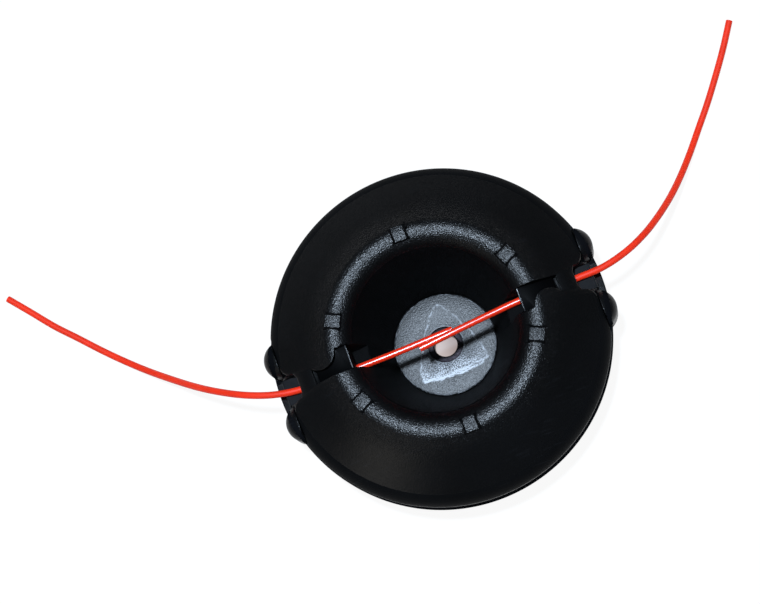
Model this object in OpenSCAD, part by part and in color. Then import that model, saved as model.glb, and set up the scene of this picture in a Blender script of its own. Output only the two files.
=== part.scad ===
// Push-through line trimmer head, lying on its hub ring with the cup side up.
// Z is the spin axis, X runs along the line channel, and the height is taken from the resting plane.
// Everything but the two lines repeats after half a turn about Z.

/* [Cover] */
// Diameter of the cover at its rim
rim_d = 130; // [122:0.5:140]
// Wall thickness of the cover
wall = 2.5; // [2.1:0.1:2.9]
// Width of the flange, from the crest out to the rim
flange_w = 26.7; // [25.5:0.1:28]
// Height of the crest above the cup floor
crest_h = 40.5; // [39.5:0.1:42.5]
// Slope of the flange's straight part
flange_slope_deg = 30; // [29:0.25:31]
// Rounding between the crest and the flange
crest_outer_r = 7; // [6:0.1:8]
// Rounding between the flange and the rim
rim_edge_r = 8; // [7:0.1:9]
// Height of the upright band at the cover's rim
band_h = 2.1; // [1.5:0.1:3]
// Rounding of the crest on the cup side
crest_fillet_r = 8; // [6.5:0.1:9]
// Steepness of the cup wall
cup_wall_deg = 73.5; // [72:0.1:75]

/* [Crest lugs] */
// Angles of the lugs on one half of the crest
lug_angles = [25, 90, 155];
// Width of a lug along the crest
lug_w = 5.3; // [3:0.1:8]
// Length of a lug across the crest
lug_l = 6; // [4:0.1:8]
// Height of a lug above the crest
lug_h = 0.6; // [0.3:0.1:1.5]

/* [Hub] */
// Height of the cup floor above the resting plane
hub_h = 10; // [9.4:0.1:12]
// Gap between the cup floor disc and the cover around it
disc_gap = 0.28; // [0.1:0.02:0.6]
// Chamfer on the edge of the cup floor disc
disc_chamfer = 0.35; // [0.1:0.05:0.8]
// Depth of the step around the disc that carries the cover's inner lip
hub_step = 2.5; // [1.8:0.1:3]
// How far the ring that the head rests on stands out beyond the cup floor disc
hub_ring_w = 6.95; // [5:0.05:10]
// Radius of the recess inside the resting ring
hub_recess_r = 12; // [11:0.1:14]
// Depth of the recess inside the resting ring
hub_recess = 2; // [1:0.1:3]

/* [Arbor bushing] */
// Diameter of the arbor bore
arbor_d = 9.2; // [6:0.1:11]
// Outer diameter of the bushing
bushing_d = 13.7; // [13:0.1:16]
// Diameter of the bushing's flange
bushing_flange_d = 20; // [18:0.1:21.5]
// Thickness of the bushing's flange
bushing_flange_t = 1.6; // [1:0.1:2.5]
// Depth of the bushing's top face below the cup floor
bushing_drop = 0.8; // [0.2:0.1:1.5]

/* [Base] */
// How far the base's rim stands out beyond the cover
rim_overhang = 0.4; // [0:0.1:1]
// Height of the base's rim band
rim_band_h = 6.5; // [5:0.1:8]
// Height at which the dished underside leaves the hub ring
dish_z = 4.6; // [4:0.1:5]
// Thickness of the base's floor
floor_t = 3; // [2.5:0.1:3.4]
// Height of the tongue that centres the cover
tongue_h = 2.3; // [1:0.1:2.6]
// Thickness of the tongue
tongue_t = 2.2; // [1.5:0.1:3]
// Thickness of the ribs on the underside
rib_t = 2; // [1.2:0.1:3]
// Depth of the ribs at the hub ring
rib_h = 3.6; // [2:0.1:4.4]
// Gap between the cover's rim and the base's rim
seam_gap = 0.3; // [0.1:0.05:0.6]

/* [Line exits] */
// Diameter of the line
line_d = 2.67; // [2:0.01:2.7]
// Distance of the line from the channel's middle plane
line_y = 0.9; // [0.7:0.1:1.1]
// Depth of the channel floor below the crest
channel_drop = 16.7; // [16.5:0.1:17.1]
// Width of the channel at its mouth
mouth_w = 10; // [8.5:0.1:10.1]
// How far the shelf ends inside the cover's rim circle
shelf_inset = 2.5; // [1.5:0.1:3.5]
// How far the cover is trimmed flat at each exit
flat_inset = 4.2; // [3.5:0.1:5]
// Depth of the notch in that flat
notch_depth = 5.3; // [4.5:0.1:6]
// Width of the notch at its bottom
notch_w = 5.6; // [4:0.1:7]
// Rounding of the notch's corners
notch_corner_r = 4.4; // [4:0.1:4.8]
// Distance of a guide post from the channel's middle plane
post_y = 12.7; // [12.4:0.1:14]
// Radius of a guide post
post_r = 7.6; // [7:0.1:7.6]
// How far a guide post's axis stands inside the cover's rim circle
post_inset = 6; // [5.5:0.1:6.5]
// Depth of a guide post's top below the crest
post_drop = 12; // [11:0.1:13]
// Rounding of a guide post's top edge
post_edge_r = 5; // [4:0.1:6]
// Radius of the shallow cap on a guide post
post_cap_r = 9; // [8:0.5:14]

/* [Recess and cup slot] */
// How far the recess's inner edge stands inside the crest
slot_inset = 5; // [4.6:0.1:5.8]
// Width of the cup slot on the cam's side
slot_cam_side = 6.1; // [5:0.1:6.4]
// Width of the cup slot on the plate's side
slot_plate_side = 2.8; // [2.8:0.1:3.4]
// Width of the recess on the cam's side
recess_cam_side = 6.4; // [5.5:0.1:6.6]
// Width of the recess on the plate's side
recess_plate_side = 3; // [2.9:0.1:3.6]
// Length of the recess
recess_l = 15.7; // [15:0.1:17]
// Length of the recess's ramp
ramp_l = 14.2; // [13.5:0.1:14.4]
// Depth of the ramp's upper end below the crest
ramp_drop = 1.5; // [1.1:0.1:2.1]
// Fall of the ramp from its upper end to its lower end
ramp_fall = 4.8; // [4:0.1:5.2]
// Depth of the pocket's floor below the crest, at the end of the ramp
pocket_drop = 9; // [8:0.1:9.2]
// Radius of the round boss beside the recess
boss_r = 6.4; // [6.2:0.1:6.6]
// Radius of the hole that the line leaves the cup slot by
line_hole_r = 1.8; // [1.5:0.05:1.85]

/* [Cam] */
// Distance of the cam's pivot from the recess's inner edge
pivot_inset = 10.7; // [10.2:0.1:11.2]
// Distance of the cam's pivot from the channel's middle plane
pivot_y = 7.3; // [7.1:0.1:7.5]
// Thickness of the cam
cam_t = 4.2; // [3.5:0.1:4.3]
// Radius of the cam's hub
cam_hub_r = 5.2; // [4.4:0.1:5.4]
// How far inward of the pivot the cam grips the line
grip_offset = 3; // [2.5:0.1:3.4]
// Number of teeth on the cam
cam_teeth = 7; // [3:2:7]
// Angle between two teeth
tooth_pitch_deg = 8.5; // [6:0.5:9]
// Depth of a tooth
tooth_depth = 0.7; // [0.3:0.1:1]
// Thickness of the washer under the cam
washer_t = 0.4; // [0.3:0.1:0.6]
// Outer radius of the washer under the cam
washer_r = 5; // [3.5:0.1:6]
// Radius of the cam's pin
pin_r = 2; // [1.6:0.05:2.2]
// Depth of the pin's seat in the base
pin_seat = 10; // [6:0.5:12]
// Depth of the pin's seat in the cover
pin_cap_seat = 2.2; // [1.5:0.1:2.4]

/* [Cam spring] */
// Diameter of the spring's wire
wire_d = 0.9; // [0.6:0.05:1]
// Mean radius of the spring's coil
coil_r = 3.3; // [3:0.05:3.4]
// Rise of the coil in each turn
coil_pitch = 1.05; // [1.02:0.01:1.1]
// Angle at which the spring's lower leg leaves the coil
lower_leg_deg = 207; // [200:1:212]
// Length of the spring's lower leg
lower_leg_l = 6; // [5.5:0.1:6.4]
// Length of the spring's upper leg
upper_leg_l = 3.8; // [3.5:0.1:4.2]

/* [Wear plate] */
// Thickness of the wear plate
plate_t = 1.5; // [1:0.1:1.8]
// Length of the wear plate
plate_l = 9; // [7:0.1:9.4]
// Height of the wear plate
plate_h = 4.6; // [3.8:0.1:4.8]

/* [Cover screws] */
// How far the circle of the cover screws stands inside the cover's rim circle
screw_inset = 11; // [10:0.1:12]
// Radius of a screw's shank
screw_r = 2; // [1.5:0.05:2.2]
// Radius of a screw's head
screw_head_r = 4; // [3.2:0.1:4.2]
// Height of a screw's head
screw_head_h = 2.8; // [2:0.1:3]
// Length of a screw below its head
screw_l = 16; // [12:0.5:20]
// Radius of the post that a screw holds
screw_post_r = 4.5; // [4:0.1:4.6]

/* [Hidden] */
$fn = 72;
ARC_STEPS = 9;
SPRING_SIDES = 6;
SPRING_STEP_DEG = 24;
LINE_SIDES = 8;
// How far a cut reaches past a face, and past a whole wall
cut = 0.5;
beyond = 5;
rim_r = rim_d / 2;
crest_r = rim_r - flange_w;
crest_z = hub_h + crest_h;
// Centres of the flange's two roundings, set where its straight part touches both
crest_round = [crest_r, crest_z - crest_outer_r];
shoulder_z = crest_round[1] + (
    crest_outer_r - rim_edge_r - (flange_w - rim_edge_r) * sin(flange_slope_deg)
) / cos(flange_slope_deg);
rim_round = [rim_r - rim_edge_r, shoulder_z];
rim_z = shoulder_z - band_h;
// Where the crest's fillet meets the straight cup wall, and where that wall meets the cup floor
cup_lean = 90 + cup_wall_deg;
cup_top = [crest_r, crest_z - crest_fillet_r] + polar(crest_fillet_r, cup_lean);
cup_foot_r = cup_top[0] - (cup_top[1] - hub_h) / tan(cup_wall_deg);
disc_r = cup_foot_r - disc_gap;
hub_ring_r = disc_r + hub_ring_w;
lip_z = hub_h - hub_step;

// Clearances
cavity_gap = 0.4;
seat_gap = 0.02;
pivot_gap = 0.04;
line_gap = 0.05;
tooth_gap = 0.05;
part_gap = 0.3;
plate_gap = 0.05;

// Base
base_rim_r = rim_r + rim_overhang;
base_rim_top = rim_z - seam_gap;
base_rim_z = base_rim_top - rim_band_h;
dish_slope = (base_rim_z - dish_z) / (base_rim_r - hub_ring_r);
tongue_r = rim_r - wall - 0.15;
tongue_z = base_rim_top + tongue_h;
channel_z = crest_z - channel_drop;
flat_x = rim_r - flat_inset;
notch_x = flat_x - notch_depth;
post_x = rim_r - post_inset;
shelf_x = rim_r - shelf_inset;
post_top = crest_z - post_drop;
line_z = channel_z + line_d / 2 + line_gap;

// Cover's slot and recess, and the pad under them
slot_x = crest_r - slot_inset;
slot_wall_x = slot_x + wall - 0.5;
recess_wall = 2;
ramp_top_z = crest_z - ramp_drop;
ramp_end_z = ramp_top_z - ramp_fall;
pocket_z = crest_z - pocket_drop;
pivot_x = slot_x + pivot_inset;
pad_side = 7.2;
pad_back = 6;
pad_x = slot_wall_x + part_gap;
pad_y = pivot_y + pad_side;
pad_end_x = pivot_x + pad_back;
pad_skin = 2.5;
core_roof = channel_z - 3.8;
exit_core_w = 10;

// Cam
cam_z = channel_z + washer_t + 0.1;
cam_top = cam_z + cam_t;
cam_reach = pivot_y + line_y - line_d / 2 - tooth_gap;
grip_deg = atan2(cam_reach, -grip_offset);
grip_r = norm([cam_reach, grip_offset]);
spiral_rate = grip_offset / cam_reach;
peg_r = 0.8;
peg_h = 1.6;
stop_r = 1.1;
stop_deg = 172;
stop_reach = 7;

// Spring
coil_z = cam_top + 0.6 + wire_d / 2;
coil_turns = (990 - lower_leg_deg) / 360;
coil_top = coil_z + coil_turns * coil_pitch;
cap_boss_z = coil_top + wire_d / 2 + 0.9;
cap_boss_r = 5;
spring_stop_w = 2;
pin_z = channel_z - pin_seat;
pin_top = cap_boss_z + pin_cap_seat;

// Wear plate
plate_y = line_y + line_d / 2 + 0.1;
plate_x = pad_x + 0.6;
plate_wall_t = 2.5;

// Cover screws
screw_angles = [30, 90, 150, 210, 270, 330];
screw_circle_r = rim_r - screw_inset;
screw_boss_r = screw_head_r + 2;
screw_boss_z = under_z(screw_circle_r) - 3;
screw_seat_z = screw_boss_z + screw_head_h + 1;
screw_post_z = under_z(screw_circle_r) + floor_t + 3;

// The right line, from its cut end in the cup to its free tip, and the left one
line_right_route = [
    [-8.3, -2.9, 36.6], [2, -1.9, 36.6], [12, -0.9, 36.1], [22, 0, 35.5], [33, 0.8, line_z],
    [45, 0.9, line_z], [57, 0.9, line_z], [67, 1.3, 35.1], [77, 4, 33.1], [86, 8.5, 29],
    [94, 14.3, 23], [101.5, 21, 16], [108.5, 28.3, 9.6], [116, 37, 4], [123, 45.5, 1.7],
    [130, 53.8, 1.4], [137, 62.8, 1.4], [144, 72.3, 1.4], [150.5, 82, 1.4]
];
line_left_route = [
    [5.5, 0, 34.1], [-4, -0.3, 34.3], [-14, -0.7, 34.8], [-24, -0.9, 35.2], [-34, -0.9, line_z],
    [-46, -0.9, line_z], [-57, -0.7, line_z], [-67, 1.2, 35.1], [-77, 5.2, 33.3], [-87, 11.1, 28.5],
    [-96, 17.7, 21.8], [-105, 25.4, 13.5], [-114, 33.5, 6.5], [-122, 41.2, 2.8], [-130, 49.4, 1.5],
    [-138, 58.2, 1.4], [-145.5, 66.3, 1.4], [-153, 75.6, 1.4], [-160, 84.1, 1.4]
];

// Height of the base's dished underside at radius r
function under_z(r) = dish_z + dish_slope * (r - hub_ring_r);

function polar(r, a) = [r * cos(a), r * sin(a)];
function unit(v) = v / norm(v);

// Points along an arc about c, without its last one
function arc(c, r, from, to) = [for (k = [0 : ARC_STEPS - 1]) c + polar(r, from + (to - from) * k / ARC_STEPS)];

// A smooth curve through the points p, with a number of steps between each two
function curve_point(a, b, c, d, t) =
    (2 * b + (c - a) * t + (2 * a - 5 * b + 4 * c - d) * t * t + (3 * b - a - 3 * c + d) * t * t * t) / 2;
function curve(p, steps) = [
    for (i = [0 : len(p) - 2])
        for (k = [0 : steps - 1])
            curve_point(p[max(i - 1, 0)], p[i], p[i + 1], p[min(i + 2, len(p) - 1)], k / steps),
    p[len(p) - 1]
];

// A round tube along the points p
module tube(p, r, sides) {
    last = len(p) - 1;
    rings = [
        for (i = [0 : last])
            let (
                along = unit(p[min(i + 1, last)] - p[max(i - 1, 0)]),
                across = unit(cross(along, [0, 0, 1])),
                over = cross(across, along)
            )
            for (k = [0 : sides - 1])
                p[i] + across * r * cos(360 * k / sides) + over * r * sin(360 * k / sides)
    ];
    skin = [
        for (i = [0 : last - 1])
            for (k = [0 : sides - 1])
                let (
                    a = i * sides + k,
                    b = i * sides + (k + 1) % sides
                )
                each [[a, b, b + sides], [a, b + sides, a + sides]]
    ];
    start_cap = [for (k = [0 : sides - 1]) sides - 1 - k];
    end_cap = [for (k = [0 : sides - 1]) last * sides + k];
    polyhedron(rings, concat([start_cap, end_cap], skin));
}

// Repeats its children after half a turn about the head's axis
module both_sides() {
    children();
    rotate([0, 0, 180]) children();
}

// Half section of the cover's body, closed at the bottom, with every wall moved in by inset
module cover_section(inset) {
    fillet_c = [crest_r, crest_z - crest_fillet_r];
    tangent = fillet_c + polar(crest_fillet_r - inset, cup_lean);
    foot_r = tangent[0] - (tangent[1] - hub_h) / tan(cup_wall_deg);
    flange_normal = 90 - flange_slope_deg;
    bottom = lip_z - (inset > 0 ? cut : 0);
    polygon([
        [rim_r - inset, bottom],
        each arc(rim_round, rim_edge_r - inset, 0, flange_normal),
        rim_round + polar(rim_edge_r - inset, flange_normal),
        each arc(crest_round, crest_outer_r - inset, flange_normal, 90),
        each arc(fillet_c, crest_fillet_r - inset, 90, cup_lean),
        tangent,
        [foot_r, hub_h],
        [foot_r, bottom]
    ]);
}

module cover_solid(inset) {
    rotate_extrude() cover_section(inset);
}

// Plan of the notch that the line leaves the cover by
module notch_plan() {
    corner_x = flat_x - notch_corner_r;
    corner_y = notch_corner_r + mouth_w / 2 - 0.2;
    difference() {
        polygon([
            [notch_x, -notch_w / 2], [corner_x, -mouth_w / 2 + 0.2], [corner_x, -corner_y],
            [rim_r, -corner_y], [rim_r, corner_y], [corner_x, corner_y],
            [corner_x, mouth_w / 2 - 0.2], [notch_x, notch_w / 2]
        ]);
        for (side = [-1, 1]) translate([corner_x, side * corner_y]) circle(notch_corner_r);
    }
}

// Plan of the recess beside the round boss, with its walls moved out by grow
module recess_plan(grow) {
    difference() {
        translate([slot_x - grow, -recess_cam_side - grow])
            square([recess_l + 2 * grow, recess_cam_side + recess_plate_side + 2 * grow]);
        translate([pivot_x, -pivot_y]) circle(boss_r - grow);
    }
}

// Everything above the recess's ramp and pocket, seen along Y, with the floor lowered by drop
module recess_profile(drop) {
    top = crest_z + beyond;
    slope = -ramp_fall / ramp_l;
    step_x = slot_x + ramp_l - (drop > 0 ? recess_wall : 0);
    translate([0, rim_r, 0])
        rotate([90, 0, 0])
            linear_extrude(rim_d)
                polygon([
                    [slot_x - beyond, ramp_top_z - drop - beyond * slope],
                    [step_x, ramp_top_z - drop + (step_x - slot_x) * slope],
                    [step_x, pocket_z - drop],
                    [slot_x + recess_l + beyond, pocket_z - drop],
                    [slot_x + recess_l + beyond, top],
                    [slot_x - beyond, top]
                ]);
}

module recess_walls() {
    intersection() {
        cover_solid(0);
        linear_extrude(crest_z + beyond) recess_plan(recess_wall);
        recess_profile(wall);
    }
}

module recess_cut() {
    intersection() {
        linear_extrude(crest_z + beyond) recess_plan(0);
        recess_profile(0);
    }
}

module slot_walls() {
    intersection() {
        cover_solid(0);
        translate([disc_r, -slot_cam_side - wall, channel_z - wall])
            cube([slot_wall_x - disc_r, slot_cam_side + slot_plate_side + 2 * wall, crest_z]);
    }
}

module slot_cut() {
    translate([disc_r - beyond, -slot_cam_side, channel_z])
        cube([slot_x - disc_r + beyond, slot_cam_side + slot_plate_side, crest_z]);
    translate([slot_x - cut, line_y, line_z])
        rotate([0, 90, 0])
            cylinder(h = wall + 2 * cut, r = line_hole_r);
}

// Boss that holds the pin's top, and the rib that the spring's upper leg bears on
module cap_boss() {
    stop_y = coil_r_y() + wire_d / 2 + plate_gap;
    stop_z = coil_top - wire_d / 2 + 0.1;
    intersection() {
        cover_solid(wall / 2);
        union() {
            translate([pivot_x, -pivot_y, cap_boss_z]) cylinder(h = crest_z, r = cap_boss_r);
            translate([pivot_x + upper_leg_l - 1, stop_y, stop_z])
                cube([spring_stop_w, spring_stop_w, crest_z]);
        }
    }
}

// Distance of the upper leg from the channel's middle plane
function coil_r_y() = -pivot_y - coil_r;

module screw_posts() {
    intersection() {
        cover_solid(wall / 2);
        for (a = screw_angles) rotate([0, 0, a])
            translate([screw_circle_r, 0, screw_post_z]) cylinder(h = crest_z, r = screw_post_r);
    }
}

module crest_lugs() {
    for (a = lug_angles) rotate([0, 0, a])
        translate([crest_r - lug_l / 2, -lug_w / 2, crest_z - wall / 2])
            cube([lug_l, lug_w, wall / 2 + lug_h]);
}

module cover() {
    color([0.07, 0.07, 0.08])
    difference() {
        union() {
            difference() {
                cover_solid(0);
                cover_solid(wall);
                difference() {
                    translate([0, 0, -1]) cylinder(h = rim_z + 1, r = rim_r + beyond);
                    translate([0, 0, -2]) cylinder(h = rim_z + 3, r = crest_r);
                }
            }
            both_sides() {
                slot_walls();
                recess_walls();
                cap_boss();
                crest_lugs();
            }
            screw_posts();
        }
        both_sides() {
            slot_cut();
            recess_cut();
            translate([flat_x, -rim_r, 0]) cube([rim_r, 2 * rim_r, crest_z]);
            linear_extrude(crest_z) notch_plan();
            translate([pivot_x, -pivot_y, cap_boss_z - cut])
                cylinder(h = pin_cap_seat + cut + 0.2, r = pin_r + seat_gap);
        }
        for (a = screw_angles) rotate([0, 0, a])
            translate([screw_circle_r, 0, screw_post_z - cut])
                cylinder(h = screw_seat_z + screw_l + 0.7 - screw_post_z + cut, r = screw_r + seat_gap);
    }
}

// Half section of the base: hub, dished floor, rim and the tongue that centres the cover
module base_section() {
    seat_r = bushing_d / 2 + seat_gap;
    tongue_in = tongue_r - tongue_t;
    step_r = hub_ring_r + (lip_z - dish_z - floor_t) / dish_slope;
    polygon([
        [seat_r, hub_recess], [hub_recess_r, hub_recess], [hub_recess_r, 0], [hub_ring_r, 0],
        [hub_ring_r, dish_z], [base_rim_r, base_rim_z], [base_rim_r, base_rim_top],
        [tongue_r, base_rim_top], [tongue_r, tongue_z], [tongue_in, tongue_z],
        [tongue_in, under_z(tongue_in) + floor_t], [step_r, lip_z], [disc_r, lip_z],
        [disc_r, hub_h - disc_chamfer], [disc_r - disc_chamfer, hub_h], [seat_r, hub_h]
    ]);
}

// Everything below the middle of the dished floor
module below_floor() {
    rotate_extrude() polygon([
        [hub_ring_r, -1], [hub_ring_r, under_z(hub_ring_r) + floor_t / 2],
        [2 * rim_r, under_z(2 * rim_r) + floor_t / 2], [2 * rim_r, -1]
    ]);
}

// Radial rib under the dished floor
module base_rib() {
    rotate([90, 0, 0])
        translate([0, 0, -rib_t / 2])
            linear_extrude(rib_t)
                polygon([
                    [hub_ring_r - 1, dish_z - rib_h], [hub_ring_r - 1, dish_z + 1],
                    [base_rim_r - 2, under_z(base_rim_r - 2) + 1], [base_rim_r - 2, under_z(base_rim_r - 2)]
                ]);
}

// Section of a guide post: an upright side, a rounded edge and a shallow cap
module post_section() {
    corner_r = post_r - post_edge_r;
    cap_cz = post_top - post_cap_r;
    corner_z = cap_cz + sqrt(pow(post_cap_r - post_edge_r, 2) - pow(corner_r, 2));
    lean = atan2(corner_r, corner_z - cap_cz);
    square_top = corner_z - base_rim_z;
    translate([0, base_rim_z]) square([post_r, square_top]);
    translate([corner_r, corner_z]) circle(post_edge_r);
    above = 2 * post_cap_r;
    intersection() {
        translate([0, cap_cz]) circle(post_cap_r);
        polygon([[0, cap_cz], [above * tan(lean), cap_cz + above], [0, cap_cz + above]]);
    }
}

// Whole guide post outside the cover's flat
module guide_posts() {
    for (side = [-1, 1])
        intersection() {
            translate([post_x, side * post_y, 0])
                rotate_extrude() intersection() {
                    post_section();
                    square([post_r, post_top + 1]);
                }
            translate([flat_x + part_gap, -rim_r, 0]) cube([rim_r, 2 * rim_r, post_top + 1]);
        }
}

// Block under the cover's edge, from which the guide posts bulge
module exit_block() {
    half_w = post_y + post_r + 2;
    intersection() {
        cover_solid(wall + cavity_gap);
        translate([pad_end_x, -half_w, hub_h])
            cube([shelf_x - pad_end_x, 2 * half_w, pocket_z - wall - part_gap - hub_h]);
    }
    for (side = [-1, 1])
        intersection() {
            translate([post_x, side * post_y, base_rim_z]) cylinder(h = base_rim_top - base_rim_z, r = post_r);
            translate([post_x - post_r, -rim_r, 0]) cube([3 * post_r, 2 * rim_r, rim_z]);
        }
}

// Pad that carries the cam, its pin and the wear plate
module cam_pad() {
    wall_y = plate_y + plate_t + plate_gap;
    wall_top = channel_z + plate_h + 0.1;
    pad_plus_y = wall_y + plate_wall_t + 2;
    translate([pad_x, -pad_y, hub_h - hub_step])
        cube([pad_end_x - pad_x + cut, pad_y + pad_plus_y, channel_z - hub_h + hub_step]);
    translate([pad_x, wall_y, channel_z - 1])
        cube([plate_l + 2.9, plate_wall_t, wall_top - channel_z + 1]);
    for (x = [pad_x, plate_x + plate_l + plate_gap])
        translate([x, plate_y + 0.4, channel_z - 1])
            cube([x > pad_x ? pad_x + plate_l + 2.9 - x : 0.55, wall_y - plate_y, wall_top - channel_z + 1]);
    translate([pivot_x, -pivot_y, channel_z - 1])
        translate(polar(stop_reach, stop_deg))
            cylinder(h = cam_top - channel_z + 1, r = stop_r);
}

// Channel from the cam out to the mouth
module channel_cut() {
    throat = line_d + 1.2;
    translate([0, 0, channel_z])
        linear_extrude(post_top)
            polygon([
                [pad_end_x - 1, line_y - throat / 2], [pad_end_x - 1, line_y + throat / 2],
                [notch_x + 1, mouth_w / 2], [rim_r, mouth_w / 2],
                [rim_r, -mouth_w / 2], [notch_x + 1, -mouth_w / 2]
            ]);
}

// Pockets that core the pad and the exit block from beneath
module core_pockets() {
    difference() {
        translate([pad_x + pad_skin, -pad_y + pad_skin, -1])
            cube([pad_end_x - pad_x - 2 * pad_skin, pad_y + 4, core_roof + 1]);
        translate([pivot_x, -pivot_y, 0]) cylinder(h = channel_z, r = pin_r + 2.6);
    }
    for (side = [-1, 1])
        translate([pad_end_x + pad_skin, side * post_y - exit_core_w / 2, -1])
            cube([flat_x - pad_end_x - 2 * pad_skin, exit_core_w, core_roof + 1]);
}

module base_housing() {
    color([0.10, 0.10, 0.11])
    difference() {
        union() {
            rotate_extrude() base_section();
            for (a = [30 : 30 : 150]) rotate([0, 0, a]) both_sides() base_rib();
            difference() {
                both_sides() {
                    exit_block();
                    cam_pad();
                    translate([notch_x, -mouth_w / 2, hub_h])
                        cube([shelf_x - notch_x, mouth_w, channel_z - hub_h]);
                }
                below_floor();
            }
            both_sides() guide_posts();
            for (a = screw_angles) rotate([0, 0, a])
                translate([screw_circle_r, 0, screw_boss_z])
                    cylinder(h = screw_post_z - screw_boss_z, r = screw_boss_r);
        }
        both_sides() {
            channel_cut();
            core_pockets();
            translate([pivot_x, -pivot_y, pin_z]) cylinder(h = pin_seat + 1, r = pin_r + seat_gap);
        }
        translate([0, 0, hub_recess - 1])
            cylinder(h = 1 + bushing_flange_t + seat_gap, r = bushing_flange_d / 2 + 0.1);
        for (a = screw_angles) rotate([0, 0, a]) translate([screw_circle_r, 0, 0]) {
            translate([0, 0, screw_boss_z - beyond])
                cylinder(h = screw_seat_z - screw_boss_z + beyond, r = screw_head_r + part_gap);
            cylinder(h = screw_post_z + 1, r = screw_r + 0.2);
        }
    }
}

module arbor_bushing() {
    top = hub_h - bushing_drop;
    edge = 0.3;
    color([0.25, 0.25, 0.27])
    rotate_extrude() polygon([
        [arbor_d / 2 + edge, hub_recess], [bushing_flange_d / 2, hub_recess],
        [bushing_flange_d / 2, hub_recess + bushing_flange_t], [bushing_d / 2, hub_recess + bushing_flange_t],
        [bushing_d / 2, top], [arbor_d / 2 + edge, top], [arbor_d / 2, top - edge],
        [arbor_d / 2, hub_recess + edge]
    ]);
}

// Radius of the cam's toothed face at an angle about its pivot
function spiral(a) = grip_r * exp(spiral_rate * (a - grip_deg) * PI / 180);

// Plan of the cam about its pivot, toothed where it meets the line
module cam_plan() {
    first = grip_deg - (cam_teeth - 1) / 2 * tooth_pitch_deg;
    last = first + (cam_teeth - 1) * tooth_pitch_deg;
    circle(cam_hub_r);
    polygon([
        [0, 0],
        polar(cam_hub_r - 0.4, first - 30),
        for (i = [0 : cam_teeth - 1])
            let (a = first + i * tooth_pitch_deg)
            each [
                polar(spiral(a) - tooth_depth, a - 0.8 * tooth_pitch_deg),
                polar(spiral(a), a)
            ],
        polar(cam_hub_r - 0.4, last + 16)
    ]);
}

module cam_at_right() {
    leg = polar(coil_r, lower_leg_deg) + (lower_leg_l - 1) * [sin(lower_leg_deg), -cos(lower_leg_deg)];
    peg = leg + (wire_d / 2 + peg_r + 0.03) * [-cos(lower_leg_deg), -sin(lower_leg_deg)];
    translate([pivot_x, -pivot_y, cam_z])
        difference() {
            union() {
                linear_extrude(cam_t) cam_plan();
                translate([peg[0], peg[1], cam_t - 1]) cylinder(h = 1 + peg_h, r = peg_r);
            }
            translate([0, 0, -1]) cylinder(h = cam_t + 2, r = pin_r + pivot_gap);
        }
}

module cam_right() {
    color([0.45, 0.45, 0.47]) cam_at_right();
}

module cam_left() {
    color([0.45, 0.45, 0.47]) rotate([0, 0, 180]) cam_at_right();
}

// Steel pin that a cam turns on
module pin_at_right() {
    tip = 0.4;
    translate([pivot_x, -pivot_y, 0])
        rotate_extrude() polygon([
            [0, pin_z], [pin_r - tip, pin_z], [pin_r, pin_z + tip],
            [pin_r, pin_top - tip], [pin_r - tip, pin_top], [0, pin_top]
        ]);
}

module cam_pin_right() {
    color([0.7, 0.7, 0.72]) pin_at_right();
}

module cam_pin_left() {
    color([0.7, 0.7, 0.72]) rotate([0, 0, 180]) pin_at_right();
}

// Torsion spring: a lower leg on the cam, the coil, and an upper leg on the cover
module spring_at_right() {
    steps = ceil(coil_turns * 360 / SPRING_STEP_DEG);
    start = lower_leg_deg;
    end = start + coil_turns * 360;
    coil = [
        for (i = [0 : steps])
            let (p = polar(coil_r, start + (end - start) * i / steps))
            [p[0], p[1], coil_z + (coil_top - coil_z) * i / steps]
    ];
    lower = coil[0] + lower_leg_l * [sin(start), -cos(start), 0];
    upper = coil[steps] + upper_leg_l * [-sin(end), cos(end), 0];
    translate([pivot_x, -pivot_y, 0])
        tube(concat([lower], coil, [upper]), wire_d / 2, SPRING_SIDES);
}

module cam_spring_right() {
    color([0.62, 0.62, 0.64]) spring_at_right();
}

module cam_spring_left() {
    color([0.62, 0.62, 0.64]) rotate([0, 0, 180]) spring_at_right();
}

module washer_at_right() {
    translate([pivot_x, -pivot_y, channel_z])
        difference() {
            cylinder(h = washer_t, r = washer_r);
            translate([0, 0, -1]) cylinder(h = washer_t + 2, r = pin_r + 0.1);
        }
}

module cam_washer_right() {
    color([0.75, 0.75, 0.76]) washer_at_right();
}

module cam_washer_left() {
    color([0.75, 0.75, 0.76]) rotate([0, 0, 180]) washer_at_right();
}

// Hard plate on edge that the cam presses the line against
module plate_at_right() {
    translate([plate_x, plate_y, channel_z]) cube([plate_l, plate_t, plate_h]);
}

module wear_plate_right() {
    color([0.6, 0.6, 0.63]) plate_at_right();
}

module wear_plate_left() {
    color([0.6, 0.6, 0.63]) rotate([0, 0, 180]) plate_at_right();
}

module line_right() {
    color([0.9, 0.16, 0.08]) tube(curve(line_right_route, 2), line_d / 2, LINE_SIDES);
}

module line_left() {
    color([0.9, 0.16, 0.08]) tube(curve(line_left_route, 2), line_d / 2, LINE_SIDES);
}

// Screw number n, driven up from the underside into the cover's post
module cover_screw(n) {
    color([0.3, 0.3, 0.32])
    rotate([0, 0, screw_angles[n - 1]])
        translate([screw_circle_r, 0, screw_seat_z])
            difference() {
                union() {
                    cylinder(h = screw_l, r = screw_r);
                    translate([0, 0, -screw_head_h]) cylinder(h = screw_head_h, r = screw_head_r);
                }
                translate([0, 0, -screw_head_h - 1]) cylinder(h = 2.6, r = screw_r * 0.85, $fn = 6);
            }
}

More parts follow.
